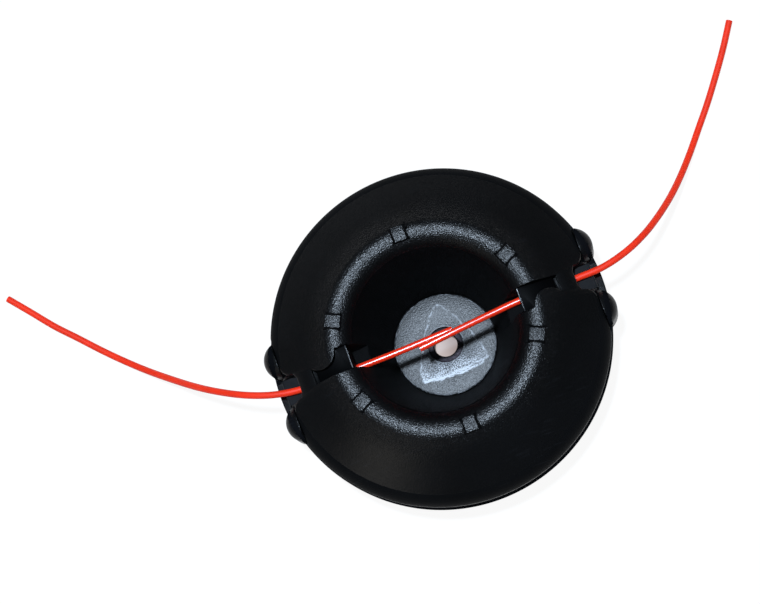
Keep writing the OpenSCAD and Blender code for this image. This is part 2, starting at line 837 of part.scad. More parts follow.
base_housing();
cover();
arbor_bushing();
cam_right();
cam_left();
cam_pin_right();
cam_pin_left();
cam_spring_right();
cam_spring_left();
cam_washer_right();
cam_washer_left();
wear_plate_right();
wear_plate_left();
line_right();
line_left();
cover_screw(1);  // cover_screw_1
cover_screw(2);  // cover_screw_2
cover_screw(3);  // cover_screw_3
cover_screw(4);  // cover_screw_4
cover_screw(5);  // cover_screw_5
cover_screw(6);  // cover_screw_6
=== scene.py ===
"""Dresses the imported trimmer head: a soft-edged cover and base, two nylon lines, springs, finishes and a stage."""
import math

import bpy
from mathutils import Matrix, Vector


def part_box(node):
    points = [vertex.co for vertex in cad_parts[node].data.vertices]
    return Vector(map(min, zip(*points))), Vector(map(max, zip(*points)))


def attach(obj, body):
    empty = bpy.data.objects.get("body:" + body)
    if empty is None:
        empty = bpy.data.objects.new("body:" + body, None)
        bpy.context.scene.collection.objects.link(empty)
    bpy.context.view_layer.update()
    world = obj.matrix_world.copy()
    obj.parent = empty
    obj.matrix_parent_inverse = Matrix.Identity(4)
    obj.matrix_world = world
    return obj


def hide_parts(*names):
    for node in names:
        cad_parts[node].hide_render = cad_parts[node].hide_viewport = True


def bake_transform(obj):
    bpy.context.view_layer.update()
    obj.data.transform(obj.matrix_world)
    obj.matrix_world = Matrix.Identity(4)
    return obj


bl_info = {
    "name": "Trimmer Head Dressing",
    "version": (1, 0, 0),
    "blender": (4, 5, 0),
    "location": "3D View > Sidebar > Trimmer Head",
    "description": "Models and finishes a push-through line trimmer head around its packed frame",
    "category": "Add Mesh",
}

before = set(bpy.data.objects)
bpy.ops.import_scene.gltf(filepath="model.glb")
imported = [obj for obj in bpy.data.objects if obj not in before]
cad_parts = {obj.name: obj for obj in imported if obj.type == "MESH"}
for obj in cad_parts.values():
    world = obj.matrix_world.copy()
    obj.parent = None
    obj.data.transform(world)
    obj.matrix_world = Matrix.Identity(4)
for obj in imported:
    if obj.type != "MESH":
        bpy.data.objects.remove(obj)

MM = 0.001
IMAGE_WIDTH = 760
SENSOR_WIDTH_MM = 36.0
HALF_TURN = math.pi
FULL_TURN = 2 * math.pi
Z_AXIS = Vector((0, 0, 1))
REACH = 5 * MM

# Sizes of the hub and of the base's floor
HUB_H = 10 * MM
HUB_RING_R = 27 * MM
HUB_RECESS_R = 12 * MM
HUB_RECESS = 2 * MM
DISC_CHAMFER = 0.35 * MM
LIP_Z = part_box("cover")[0].z
DISH_Z = 4.6 * MM
TONGUE_R = 62.35 * MM
TONGUE_T = 2.2 * MM
TONGUE_H = 2.3 * MM
SEAM_GAP = 0.3 * MM
RIM_DULL_R = 61.2 * MM
BUSHING_R = 6.85 * MM
BUSHING_FLANGE_R = 10 * MM
BUSHING_FLANGE_T = 1.6 * MM
BUSHING_TOP = 9.2 * MM
ARBOR_R = 4.6 * MM
ARBOR_EDGE = 0.3 * MM

# Sizes of the line exits, the recesses and the cams under them
FLAT_X = 60.8 * MM
NOTCH_DEPTH = 5.3 * MM
NOTCH_W = 5.6 * MM
NOTCH_CORNER_R = 4.4 * MM
MOUTH_W = 10 * MM
SLOT_X = 33.3 * MM
SLOT_CAM_SIDE = 6.1 * MM
SLOT_PLATE_SIDE = 2.8 * MM
RECESS_CAM_SIDE = 6.4 * MM
RECESS_PLATE_SIDE = 3 * MM
RECESS_L = 15.7 * MM
RECESS_WALL = 2 * MM
RECESS_LAND = 0.5 * MM
RAMP_L = 14.2 * MM
RAMP_DROP = 1.5 * MM
RAMP_FALL = 4.8 * MM
POCKET_DROP = 9 * MM
BOSS_R = 6.4 * MM
PIVOT_X = 44 * MM
PIVOT_Y = 7.3 * MM
CAP_BOSS_R = 5 * MM
PIN_R = 2.02 * MM
PIN_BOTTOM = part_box("cam_pin_right")[0].z
PIN_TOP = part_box("cam_pin_right")[1].z
CAP_BOSS_Z = PIN_TOP - 2.2 * MM
SHELF_X = 62.5 * MM
PAD_X = 35.6 * MM
PAD_END_X = 50 * MM
PAD_Y = 14.5 * MM
PAD_PLUS_Y = 8.4 * MM
PLATE_WALL_Y = 3.885 * MM
PLATE_WALL_L = 11.9 * MM
PLATE_WALL_Z = 38.5 * MM
CAVITY_GAP = 0.4 * MM
FILLING_INSET = 1 * MM
DISC_R = 20.05 * MM
CHANNEL_Z = 33.8 * MM
LINE_Y = 0.9 * MM
LINE_Z = 35.185 * MM
LINE_HOLE_R = 1.8 * MM
LUG_ANGLES = (25, 90, 155, 205, 270, 335)
LUG_DRAFT = 0.55 * MM
SCREW_ANGLES = (30, 90, 150, 210, 270, 330)
RIB_ANGLES = (30, 60, 90, 120, 150, 210, 240, 270, 300, 330)
SCREW_CIRCLE_R = 54 * MM
SCREW_POST_R = 4.5 * MM
SCREW_BOSS_R = 6 * MM
SCREW_HEAD_ROOM_R = 4.3 * MM
SCREW_R = 2.02 * MM
SCREW_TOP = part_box("cover_screw_1")[1].z + 0.7 * MM
SCREW_SEAT_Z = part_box("cover_screw_1")[0].z + 2.8 * MM
SCREW_BOSS_Z = SCREW_SEAT_Z - 3.8 * MM

# Sizes of the torsion springs
WIRE_R = 0.45 * MM
COIL_R = 3.3 * MM
COIL_Z = 39.55 * MM
COIL_TOP = 41.834 * MM
COIL_START = 207
COIL_END = 990
LOWER_LEG = 6 * MM
UPPER_LEG = 3.8 * MM

# The mouldings' grain and gloss, and the worn mark on the cup floor
GRAIN_SCALE = 2250.0
GRAIN_DEPTH = 0.205 * MM
CALM_FROM_R = 42 * MM
CALM_FULL_R = 51 * MM
WORN_CORNERS = [(0.00221, 0.01751), (-0.01424, -0.01119), (0.01479, -0.01128)]
WORN_SIDE_R = 60 * MM

# Centrelines of the two lines, in metres, from the cut end in the cup to the free tip
LINE_RIGHT_ROUTE = [
    (-0.0083, -0.0029, 0.0366), (0.002, -0.0019, 0.0366), (0.012, -0.0009, 0.0361), (0.022, 0, 0.0355),
    (0.033, 0.0008, 0.035185), (0.045, 0.0009, 0.035185), (0.057, 0.0009, 0.035185), (0.067, 0.0013, 0.0351),
    (0.077, 0.004, 0.0331), (0.086, 0.0085, 0.029), (0.094, 0.0143, 0.023), (0.1015, 0.021, 0.016),
    (0.1085, 0.0283, 0.0096), (0.116, 0.037, 0.004), (0.123, 0.0455, 0.0017), (0.13, 0.0538, 0.0014),
    (0.137, 0.0628, 0.0014), (0.144, 0.0723, 0.0014), (0.1505, 0.082, 0.0014),
]
LINE_LEFT_ROUTE = [
    (0.0055, 0, 0.0341), (-0.004, -0.0003, 0.0343), (-0.014, -0.0007, 0.0348), (-0.024, -0.0009, 0.0352),
    (-0.034, -0.0009, 0.035185), (-0.046, -0.0009, 0.035185), (-0.057, -0.0007, 0.035185),
    (-0.067, 0.0012, 0.0351), (-0.077, 0.0052, 0.0333), (-0.087, 0.0111, 0.0285), (-0.096, 0.0177, 0.0218),
    (-0.105, 0.0254, 0.0135), (-0.114, 0.0335, 0.0065), (-0.122, 0.0412, 0.0028), (-0.13, 0.0494, 0.0015),
    (-0.138, 0.0582, 0.0014), (-0.1455, 0.0663, 0.0014), (-0.153, 0.0756, 0.0014), (-0.16, 0.0841, 0.0014),
]


def polar(radius, degrees):
    """The plane point at that radius and angle."""
    return Vector((radius * math.cos(math.radians(degrees)), radius * math.sin(math.radians(degrees))))


def arc(centre, radius, start, end, steps=16):
    """Points along an arc, without its last one, angles in degrees."""
    return [Vector(centre) + polar(radius, start + (end - start) * k / steps) for k in range(steps)]


class CoverSizes(bpy.types.PropertyGroup):
    """Sizes of the cover moulding"""

    rim_r: bpy.props.FloatProperty(
        name="Rim radius", description="Radius of the cover at its rim", default=65 * MM, unit="LENGTH")
    wall: bpy.props.FloatProperty(
        name="Wall", description="Wall thickness of the cover", default=2.5 * MM, unit="LENGTH")
    flange_w: bpy.props.FloatProperty(
        name="Flange width", description="From the crest out to the rim", default=26.7 * MM, unit="LENGTH")
    crest_z: bpy.props.FloatProperty(
        name="Crest height", description="Height of the crest above the resting plane",
        default=50.5 * MM, unit="LENGTH")
    flange_slope: bpy.props.FloatProperty(
        name="Flange slope", description="Slope of the flange's straight part",
        default=math.radians(30), unit="ROTATION")
    crest_outer_r: bpy.props.FloatProperty(
        name="Outer crest rounding", description="Rounding between the crest and the flange",
        default=7 * MM, unit="LENGTH")
    rim_edge_r: bpy.props.FloatProperty(
        name="Rim rounding", description="Rounding between the flange and the rim",
        default=8 * MM, unit="LENGTH")
    band_h: bpy.props.FloatProperty(
        name="Band", description="Height of the upright band at the rim", default=2.1 * MM, unit="LENGTH")
    crest_fillet_r: bpy.props.FloatProperty(
        name="Crest rounding", description="Radius of the crest on the cup side", default=8 * MM, unit="LENGTH")
    cup_slope: bpy.props.FloatProperty(
        name="Cup wall slope", description="Steepness of the cup wall", default=math.radians(73.5), unit="ROTATION")
    lug_w: bpy.props.FloatProperty(
        name="Lug width", description="Width of a crest lug along the crest", default=5.3 * MM, unit="LENGTH")
    lug_l: bpy.props.FloatProperty(
        name="Lug length", description="Length of a crest lug across the crest", default=6 * MM, unit="LENGTH")
    lug_h: bpy.props.FloatProperty(
        name="Lug height", description="Height of a lug above the crest", default=0.6 * MM, unit="LENGTH")
    edge: bpy.props.FloatProperty(
        name="Edge rounding", description="Rounding of the moulding's edges", default=0.22 * MM, unit="LENGTH")
    turns: bpy.props.IntProperty(
        name="Steps", description="Steps of a full turn in spun shapes", default=240, min=60, max=480)


class BaseSizes(bpy.types.PropertyGroup):
    """Sizes of the base moulding"""

    rim_r: bpy.props.FloatProperty(
        name="Rim radius", description="Radius of the base at its rim", default=65.4 * MM, unit="LENGTH")
    rim_h: bpy.props.FloatProperty(
        name="Rim height", description="Height of the base's rim band", default=6.5 * MM, unit="LENGTH")
    floor_t: bpy.props.FloatProperty(
        name="Floor", description="Thickness of the dished floor", default=3 * MM, unit="LENGTH")
    rib_t: bpy.props.FloatProperty(
        name="Rib thickness", description="Thickness of the ribs on the underside",
        default=2 * MM, unit="LENGTH")
    rib_h: bpy.props.FloatProperty(
        name="Rib depth", description="Depth of the ribs at the hub ring", default=3.6 * MM, unit="LENGTH")
    post_r: bpy.props.FloatProperty(
        name="Post radius", description="Radius of a guide post", default=7.6 * MM, unit="LENGTH")
    post_x: bpy.props.FloatProperty(
        name="Post place along the channel", description="Distance of a post's axis from the spin axis along X",
        default=59 * MM, unit="LENGTH")
    post_y: bpy.props.FloatProperty(
        name="Post place across the channel", description="Distance of a post's axis from the channel's middle",
        default=12.7 * MM, unit="LENGTH")
    post_top: bpy.props.FloatProperty(
        name="Post height", description="Height of a guide post's top", default=38.5 * MM, unit="LENGTH")
    post_edge_r: bpy.props.FloatProperty(
        name="Post edge", description="Rounding of a guide post's edge", default=5 * MM, unit="LENGTH")
    post_cap_r: bpy.props.FloatProperty(
        name="Post cap", description="Radius of the shallow cap on a guide post", default=9 * MM, unit="LENGTH")
    edge: bpy.props.FloatProperty(
        name="Edge rounding", description="Rounding of the moulding's edges", default=0.3 * MM, unit="LENGTH")


class LineSizes(bpy.types.PropertyGroup):
    """Sizes of the two cutting lines"""

    diameter: bpy.props.FloatProperty(
        name="Diameter", description="Diameter of the cutting line", default=2.67 * MM, unit="LENGTH")
    color: bpy.props.FloatVectorProperty(
        name="Colour", description="Colour of the nylon line", subtype="COLOR", size=4,
        default=(1.0, 0.034, 0.006, 1), min=0, max=1)


class FinishLooks(bpy.types.PropertyGroup):
    """Colours of the finishes"""

    cover_color: bpy.props.FloatVectorProperty(
        name="Cover", description="Colour of the cover's nylon", subtype="COLOR", size=4,
        default=(0.0018, 0.0019, 0.0022, 1), min=0, max=1)
    base_color: bpy.props.FloatVectorProperty(
        name="Base", description="Colour of the base's nylon", subtype="COLOR", size=4,
        default=(0.0020, 0.0021, 0.0025, 1), min=0, max=1)


class StageLooks(bpy.types.PropertyGroup):
    """The camera, lamps and floor"""

    camera_at: bpy.props.FloatVectorProperty(
        name="Camera", description="Place of the camera", subtype="TRANSLATION", unit="LENGTH", size=3,
        default=(0.0346, -0.1503, 0.8295))
    focal_px: bpy.props.FloatProperty(
        name="Focal length", description="Focal length in pixels of the 760 pixel wide picture", default=2141)
    key_power: bpy.props.FloatProperty(
        name="Overhead power", description="Power of the overhead softbox", default=23, unit="POWER")
    side_power: bpy.props.FloatProperty(
        name="Side power", description="Power of the low warm softbox", default=2, unit="POWER")
    ceiling_power: bpy.props.FloatProperty(
        name="Ceiling power", description="Power of the broad ceiling softbox", default=1.0, unit="POWER")
    world_strength: bpy.props.FloatProperty(
        name="Surroundings", description="Strength of the light from all around", default=0.035)
    floor_size: bpy.props.FloatProperty(
        name="Floor", description="Side of the floor", default=12, unit="LENGTH")


def deselect():
    """Nothing is selected after this."""
    bpy.ops.object.select_all(action="DESELECT")


def activate(piece):
    """Selects one object alone and makes it the active one."""
    deselect()
    piece.select_set(True)
    bpy.context.view_layer.objects.active = piece


def in_object_mode():
    bpy.ops.object.mode_set(mode="OBJECT")


def draw(name, points):
    """Draws edges from point to point, as by hand, and stays in edit mode with all of them selected."""
    deselect()
    bpy.ops.mesh.primitive_plane_add(size=MM, location=(0, 0, 0))
    drawn = bpy.context.object
    drawn.name = name
    drawn.data.name = name
    bpy.ops.object.mode_set(mode="EDIT")
    bpy.ops.mesh.merge(type="CENTER")
    bpy.ops.transform.translate(value=points[0])
    for here, there in zip(points, points[1:]):
        bpy.ops.mesh.extrude_region_move(TRANSFORM_OT_translate={"value": there - here})
    bpy.ops.mesh.select_all(action="SELECT")
    return drawn


def tidy(weld=0.002 * MM):
    """Welds doubles and turns the faces outwards, in edit mode."""
    bpy.ops.mesh.select_all(action="SELECT")
    bpy.ops.mesh.remove_doubles(threshold=weld)
    bpy.ops.mesh.normals_make_consistent(inside=False)


def close_loop(points):
    """The same points with the first one again at the end."""
    return list(points) + [points[0]]


def spun(name, section, steps):
    """A solid of revolution about Z from a section of (radius, height) points."""
    points = [Vector((p[0], 0, p[1])) for p in section]
    solid = draw(name, points)
    bpy.ops.mesh.spin(steps=steps, angle=FULL_TURN, center=(0, 0, 0), axis=(0, 0, 1))
    tidy()
    in_object_mode()
    return solid


def prism(name, plan, along):
    """A plan of points raised along a vector into a solid."""
    solid = draw(name, [Vector(p) for p in close_loop(plan)])
    bpy.ops.mesh.remove_doubles(threshold=0.002 * MM)
    bpy.ops.mesh.edge_face_add()
    bpy.ops.mesh.extrude_region_move(TRANSFORM_OT_translate={"value": along})
    tidy()
    in_object_mode()
    return solid


def upright(name, plan, low, high):
    """A plan of (x, y) points raised from one height to another."""
    return prism(name, [(p[0], p[1], low) for p in plan], Vector((0, 0, high - low)))


def block(name, low, high):
    """A box between two corners."""
    plan = [(low[0], low[1]), (high[0], low[1]), (high[0], high[1]), (low[0], high[1])]
    return upright(name, plan, low[2], high[2])


def post(name, centre, radius, low, high, sides=96):
    """An upright cylinder."""
    plan = [Vector(centre) + polar(radius, 360 * k / sides) for k in range(sides)]
    return upright(name, plan, low, high)


def turned(piece, degrees):
    """Turns a piece about the head's axis and applies the turn."""
    activate(piece)
    piece.rotation_euler = (0, 0, math.radians(degrees))
    bpy.ops.object.transform_apply(location=False, rotation=True, scale=False)
    return piece


def twin(piece, degrees=180):
    """A copy with its own mesh, turned about the head's axis."""
    activate(piece)
    bpy.ops.object.duplicate()
    return turned(bpy.context.object, degrees)


def combine(piece, operation, *tools):
    """Joins, cuts or keeps the common part, and takes the tools away."""
    for tool in tools:
        activate(piece)
        step = piece.modifiers.new("Boolean", "BOOLEAN")
        step.operation = operation
        step.solver = "EXACT"
        step.object = tool
        step.material_mode = "TRANSFER"
        bpy.ops.object.modifier_apply(modifier=step.name)
        bpy.data.objects.remove(tool)
    return piece


def soften(piece, width, sharp=35, segments=2):
    """Rounds the sharp edges and shades the piece smooth."""
    activate(piece)
    step = piece.modifiers.new("Soft edges", "BEVEL")
    step.width = width
    step.segments = segments
    step.limit_method = "ANGLE"
    step.angle_limit = math.radians(sharp)
    step.use_clamp_overlap = False
    step.miter_outer = "MITER_ARC"
    bpy.ops.object.modifier_apply(modifier=step.name)
    bpy.ops.object.shade_smooth_by_angle(angle=math.radians(sharp))
    return piece


def catmull_rom(route, steps):
    """A smooth line through the points of a route."""
    points = [Vector(p) for p in route]
    last = len(points) - 1
    smooth = []
    for i in range(last):
        a, b, c, d = points[max(i - 1, 0)], points[i], points[i + 1], points[min(i + 2, last)]
        for k in range(steps):
            t = k / steps
            smooth.append((2 * b + (c - a) * t + (2 * a - 5 * b + 4 * c - d) * t * t
                           + (3 * b - a - 3 * c + d) * t * t * t) / 2)
    smooth.append(points[last])
    return smooth


def shoulder_height(size):
    """Height at which the cover's rim turns upright."""
    across_w = size.flange_w - size.rim_edge_r
    fall = across_w * math.sin(size.flange_slope) + size.rim_edge_r - size.crest_outer_r
    return size.crest_z - size.crest_outer_r - fall / math.cos(size.flange_slope)


def cover_section(size, inset):
    """Half section of the cover's outside, moved in by inset, from the rim over the crest to the foot."""
    crest_r = size.rim_r - size.flange_w
    shoulder_z = shoulder_height(size)
    normal = 90 - math.degrees(size.flange_slope)
    rim_round = Vector((size.rim_r - size.rim_edge_r, shoulder_z))
    crest_round = Vector((crest_r, size.crest_z - size.crest_outer_r))
    lean = 90 + math.degrees(size.cup_slope)
    fillet_c = Vector((crest_r, size.crest_z - size.crest_fillet_r))
    floor_z = LIP_Z + 2.5 * MM
    tangent = fillet_c + polar(size.crest_fillet_r - inset, lean)
    foot_r = tangent[0] - (tangent[1] - floor_z) / math.tan(size.cup_slope)
    points = [Vector((size.rim_r - inset, shoulder_z - size.band_h))]
    points += arc(rim_round, size.rim_edge_r - inset, 0, normal, 14)
    points.append(rim_round + polar(size.rim_edge_r - inset, normal))
    points += arc(crest_round, size.crest_outer_r - inset, normal, 90, 14)
    points += arc(fillet_c, size.crest_fillet_r - inset, 90, lean, 14)
    points += [tangent, Vector((foot_r, floor_z)), Vector((foot_r, LIP_Z))]
    return points


def shell_section(size):
    """Closed section of the cover's wall."""
    outer = cover_section(size, 0)
    inner = cover_section(size, size.wall)
    return close_loop(outer + inner[::-1])


def form_section(size, inset):
    """Section of the space under the cover, closed at the bottom."""
    return close_loop([Vector((size.rim_r - inset, LIP_Z))] + cover_section(size, inset))


def recess_profile(size, drop):
    """The recess seen along Y, from its sloping ramp and pocket floor up past the crest, lowered by drop."""
    slot_x = SLOT_X
    ramp_top = size.crest_z - RAMP_DROP - drop
    ramp_end = ramp_top - RAMP_FALL
    pocket = size.crest_z - POCKET_DROP - drop
    step_x = slot_x + RAMP_L - (RECESS_WALL if drop else 0)
    grow = RECESS_WALL if drop else 0
    top = size.crest_z + REACH
    slope = -RAMP_FALL / RAMP_L
    land_z = ramp_top + RECESS_LAND * slope
    return [
        (slot_x - grow, land_z - grow * (slope if drop else 0)), (slot_x + RECESS_LAND, land_z),
        (step_x, ramp_top + (step_x - slot_x) * slope),
        (step_x, pocket), (slot_x + RECESS_L + grow, pocket),
        (slot_x + RECESS_L + grow, top), (slot_x - grow, top),
    ]


def across(name, profile, low_y, high_y):
    """A profile of (x, z) points raised along Y."""
    return prism(name, [(p[0], low_y, p[1]) for p in profile], Vector((0, high_y - low_y, 0)))


def notch_plan(size):
    """Plan of the notch that a line leaves the cover by."""
    notch_x = FLAT_X - NOTCH_DEPTH
    corner_x = FLAT_X - NOTCH_CORNER_R
    corner_y = NOTCH_CORNER_R + MOUTH_W / 2 - 0.2 * MM
    beyond = size.rim_r + REACH
    plan = [Vector((notch_x, -NOTCH_W / 2))]
    plan += arc((corner_x, -corner_y), NOTCH_CORNER_R, 90, 0, 12)
    plan += [Vector((FLAT_X, -corner_y)), Vector((beyond, -corner_y)), Vector((beyond, corner_y))]
    plan += arc((corner_x, corner_y), NOTCH_CORNER_R, 0, -90, 12)
    plan += [Vector((corner_x, corner_y - NOTCH_CORNER_R)), Vector((notch_x, NOTCH_W / 2))]
    return plan


def joined(pieces):
    """Several separate solids as one object."""
    deselect()
    for piece in pieces:
        piece.select_set(True)
    bpy.context.view_layer.objects.active = pieces[0]
    bpy.ops.object.join()
    return bpy.context.object


def cover_fillings(size):
    """Walls and bosses under the cover, kept inside its wall."""
    top = size.crest_z + REACH
    pivot = (PIVOT_X, -PIVOT_Y)
    slot = block("slot_walls", (DISC_R, -SLOT_CAM_SIDE - size.wall, CHANNEL_Z - size.wall),
                 (SLOT_X + size.wall - 0.5 * MM, SLOT_PLATE_SIDE + size.wall, top))
    recess = across("recess_walls", recess_profile(size, size.wall),
                    -RECESS_CAM_SIDE - RECESS_WALL, RECESS_PLATE_SIDE + RECESS_WALL)
    combine(recess, "DIFFERENCE", post("boss_room", pivot, BOSS_R - RECESS_WALL, 0, top))
    fillings = combine(slot, "UNION", recess)
    combine(fillings, "UNION", post("cap_boss", pivot, CAP_BOSS_R, CAP_BOSS_Z, top))
    combine(fillings, "INTERSECT", spun("form", form_section(size, FILLING_INSET), size.turns))
    return fillings


def cover_cuts(size):
    """Everything that is cut out of the cover on the +X side."""
    pivot = (PIVOT_X, -PIVOT_Y)
    top = size.crest_z + REACH
    slot = block("slot", (DISC_R - REACH, -SLOT_CAM_SIDE, CHANNEL_Z), (SLOT_X, SLOT_PLATE_SIDE, top))
    recess = across("recess", recess_profile(size, 0), -RECESS_CAM_SIDE, RECESS_PLATE_SIDE)
    combine(recess, "DIFFERENCE", post("boss", pivot, BOSS_R, 0, top + REACH))
    hole = post("line_hole", (0, 0), LINE_HOLE_R, 0, size.wall + MM, 48)
    activate(hole)
    hole.rotation_euler = (0, HALF_TURN / 2, 0)
    hole.location = (SLOT_X - 0.5 * MM, LINE_Y, LINE_Z)
    bpy.ops.object.transform_apply(location=True, rotation=True, scale=False)
    flat = block("flat", (FLAT_X, -size.rim_r, 0), (size.rim_r + REACH, size.rim_r, top))
    notch = upright("notch", notch_plan(size), 0, top)
    seat = post("pin_seat", pivot, PIN_R, 0, PIN_TOP, 48)
    return [slot, recess, hole, flat, notch, seat]


def crest_lug(size, degrees):
    """A small raised block across the crest."""
    crest_r = size.rim_r - size.flange_w
    low, high = size.crest_z - size.wall / 2, size.crest_z + size.lug_h
    half_low, half_high = size.lug_w / 2 + LUG_DRAFT, size.lug_w / 2 - LUG_DRAFT / 2
    start = crest_r - size.lug_l / 2
    ends = [(start, -half_low, low), (start, half_low, low), (start, half_low, size.crest_z - 0.3 * MM),
            (start, half_high, high), (start, -half_high, high), (start, -half_low, size.crest_z - 0.3 * MM)]
    return turned(prism("crest_lug", ends, Vector((size.lug_l, 0, 0))), degrees)


def moved(piece, shift):
    """Moves a piece and applies the move."""
    activate(piece)
    piece.location = shift
    bpy.ops.object.transform_apply(location=True, rotation=False, scale=False)
    return piece


def base_rim(size, cover):
    """Heights of the base's rim: its top and its lower edge."""
    top = shoulder_height(cover) - cover.band_h - SEAM_GAP
    return top, top - size.rim_h


def floor_height(size, radius):
    """Height of the base's dished underside at that radius."""
    _, low = base_rim(size, bpy.context.scene.trimmer_cover)
    return DISH_Z + (low - DISH_Z) / (size.rim_r - HUB_RING_R) * (radius - HUB_RING_R)


def base_section(size, cover):
    """Closed half section of the base: hub, dished floor, rim and the tongue that centres the cover."""
    rim_top, rim_low = base_rim(size, cover)
    tongue_in = TONGUE_R - TONGUE_T
    seat_r = BUSHING_R + 0.02 * MM
    return close_loop([
        (seat_r, HUB_RECESS), (HUB_RECESS_R, HUB_RECESS), (HUB_RECESS_R, 0), (HUB_RING_R, 0),
        (HUB_RING_R, DISH_Z), (size.rim_r, rim_low), (size.rim_r, rim_top), (TONGUE_R, rim_top),
        (TONGUE_R, rim_top + TONGUE_H), (tongue_in, rim_top + TONGUE_H),
        (tongue_in, floor_height(size, tongue_in) + size.floor_t), (HUB_RING_R - 0.2 * MM, LIP_Z),
        (DISC_R, LIP_Z), (DISC_R, HUB_H - DISC_CHAMFER), (DISC_R - DISC_CHAMFER, HUB_H), (seat_r, HUB_H)])


def base_rib(size, degrees):
    """A radial rib under the dished floor."""
    start, end = HUB_RING_R - MM, size.rim_r - 2 * MM
    profile = [(start, DISH_Z - size.rib_h), (end, floor_height(size, end)),
               (end, floor_height(size, end) + MM), (start, DISH_Z + MM)]
    return turned(across("base_rib", profile, -size.rib_t / 2, size.rib_t / 2), degrees)


def exit_side(size, cover):
    """Block, cam pad, shelf and plate wall on the +X side, above the dished floor."""
    half_w = size.post_y + size.post_r + 2 * MM
    block_top = cover.crest_z - POCKET_DROP - cover.wall - SEAM_GAP
    side = block("exit_side", (PAD_END_X, -half_w, HUB_H), (SHELF_X, half_w, block_top))
    combine(side, "INTERSECT", spun("form", form_section(cover, cover.wall + CAVITY_GAP), cover.turns))
    combine(side, "UNION",
            block("cam_pad", (PAD_X, -PAD_Y, LIP_Z), (PAD_END_X + 0.5 * MM, PAD_PLUS_Y, CHANNEL_Z)),
            block("shelf", (FLAT_X - NOTCH_DEPTH, -MOUTH_W / 2, HUB_H + MM), (SHELF_X, MOUTH_W / 2, CHANNEL_Z)),
            block("plate_wall", (PAD_X, PLATE_WALL_Y, CHANNEL_Z - MM),
                  (PAD_X + PLATE_WALL_L, PLATE_WALL_Y + 2.5 * MM, PLATE_WALL_Z)),
            block("plate_wall_end", (PAD_X + 9.65 * MM, PLATE_WALL_Y - 1.15 * MM, CHANNEL_Z - MM),
                  (PAD_X + PLATE_WALL_L, PLATE_WALL_Y + MM, PLATE_WALL_Z)),
            post("cam_stop", Vector((PIVOT_X, -PIVOT_Y)) + polar(7 * MM, 172), 1.1 * MM, CHANNEL_Z - MM,
                 PLATE_WALL_Z, 24))
    low = 0.5 * size.floor_t
    far = 2 * size.rim_r
    below = spun("below_floor", close_loop([
        (HUB_RING_R, -MM), (far, -MM), (far, floor_height(size, far) + low),
        (HUB_RING_R, floor_height(size, HUB_RING_R) + low)]), cover.turns)
    return combine(side, "DIFFERENCE", below)


def guide_post(size, cover, side_y):
    """A guide post with an upright side, a rounded edge and a shallow cap, trimmed at the cover's flat."""
    corner_r = size.post_r - size.post_edge_r
    cap_z = size.post_top - size.post_cap_r
    reach = size.post_cap_r - size.post_edge_r
    corner_z = cap_z + math.sqrt(reach ** 2 - corner_r ** 2)
    lean = math.degrees(math.atan2(corner_z - cap_z, corner_r))
    _, low = base_rim(size, cover)
    section = [Vector((0, low)), Vector((size.post_r, low))]
    section += arc((corner_r, corner_z), size.post_edge_r, 0, lean, 14)
    section += arc((0, cap_z), size.post_cap_r, lean, 90, 8)
    section.append(Vector((0, size.post_top)))
    made = moved(spun("guide_post", section, 72), (size.post_x, side_y * size.post_y, 0))
    keep = block("keep", (FLAT_X + SEAM_GAP, -size.rim_r, 0), (2 * size.rim_r, size.rim_r, cover.crest_z))
    return combine(made, "INTERSECT", keep)


def base_cuts(size):
    """Everything that is cut out of the base on the +X side."""
    mouth_x = FLAT_X - NOTCH_DEPTH + MM
    throat = 1.935 * MM
    beyond = size.rim_r + REACH
    channel = upright("channel", [
        (PAD_END_X - MM, LINE_Y - throat), (mouth_x, -MOUTH_W / 2), (beyond, -MOUTH_W / 2),
        (beyond, MOUTH_W / 2), (mouth_x, MOUTH_W / 2), (PAD_END_X - MM, LINE_Y + throat)],
        CHANNEL_Z, size.post_top + REACH)
    roof = CHANNEL_Z - 3.8 * MM
    skin = 2.5 * MM
    pad_core = block("pad_core", (PAD_X + skin, -PAD_Y + skin, -MM), (PAD_END_X - skin, 6.5 * MM, roof))
    combine(pad_core, "DIFFERENCE", post("pin_boss", (PIVOT_X, -PIVOT_Y), 4.6 * MM, -REACH, CHANNEL_Z, 48))
    cores = [block("exit_core", (PAD_END_X + skin, y - 5 * MM, -MM), (FLAT_X - skin, y + 5 * MM, roof))
             for y in (-size.post_y, size.post_y)]
    seat = post("pin_seat", (PIVOT_X, -PIVOT_Y), PIN_R, PIN_BOTTOM, CHANNEL_Z + MM, 48)
    return [channel, pad_core, *cores, seat]


def wire_route(turned_by):
    """Centreline of a torsion spring: the leg on the cam, the coil, and the leg on the cover."""
    steps = 130
    pivot = Vector((PIVOT_X, -PIVOT_Y))
    coil = []
    for step in range(steps + 1):
        flat = pivot + polar(COIL_R, COIL_START + (COIL_END - COIL_START) * step / steps)
        coil.append(Vector((*flat, COIL_Z + (COIL_TOP - COIL_Z) * step / steps)))
    start, end = math.radians(COIL_START), math.radians(COIL_END)
    lower = coil[0] + LOWER_LEG * Vector((math.sin(start), -math.cos(start), 0))
    upper = coil[-1] + UPPER_LEG * Vector((-math.sin(end), math.cos(end), 0))
    turn = Matrix.Rotation(turned_by, 3, "Z")
    return [turn @ point for point in [lower, *coil, upper]]


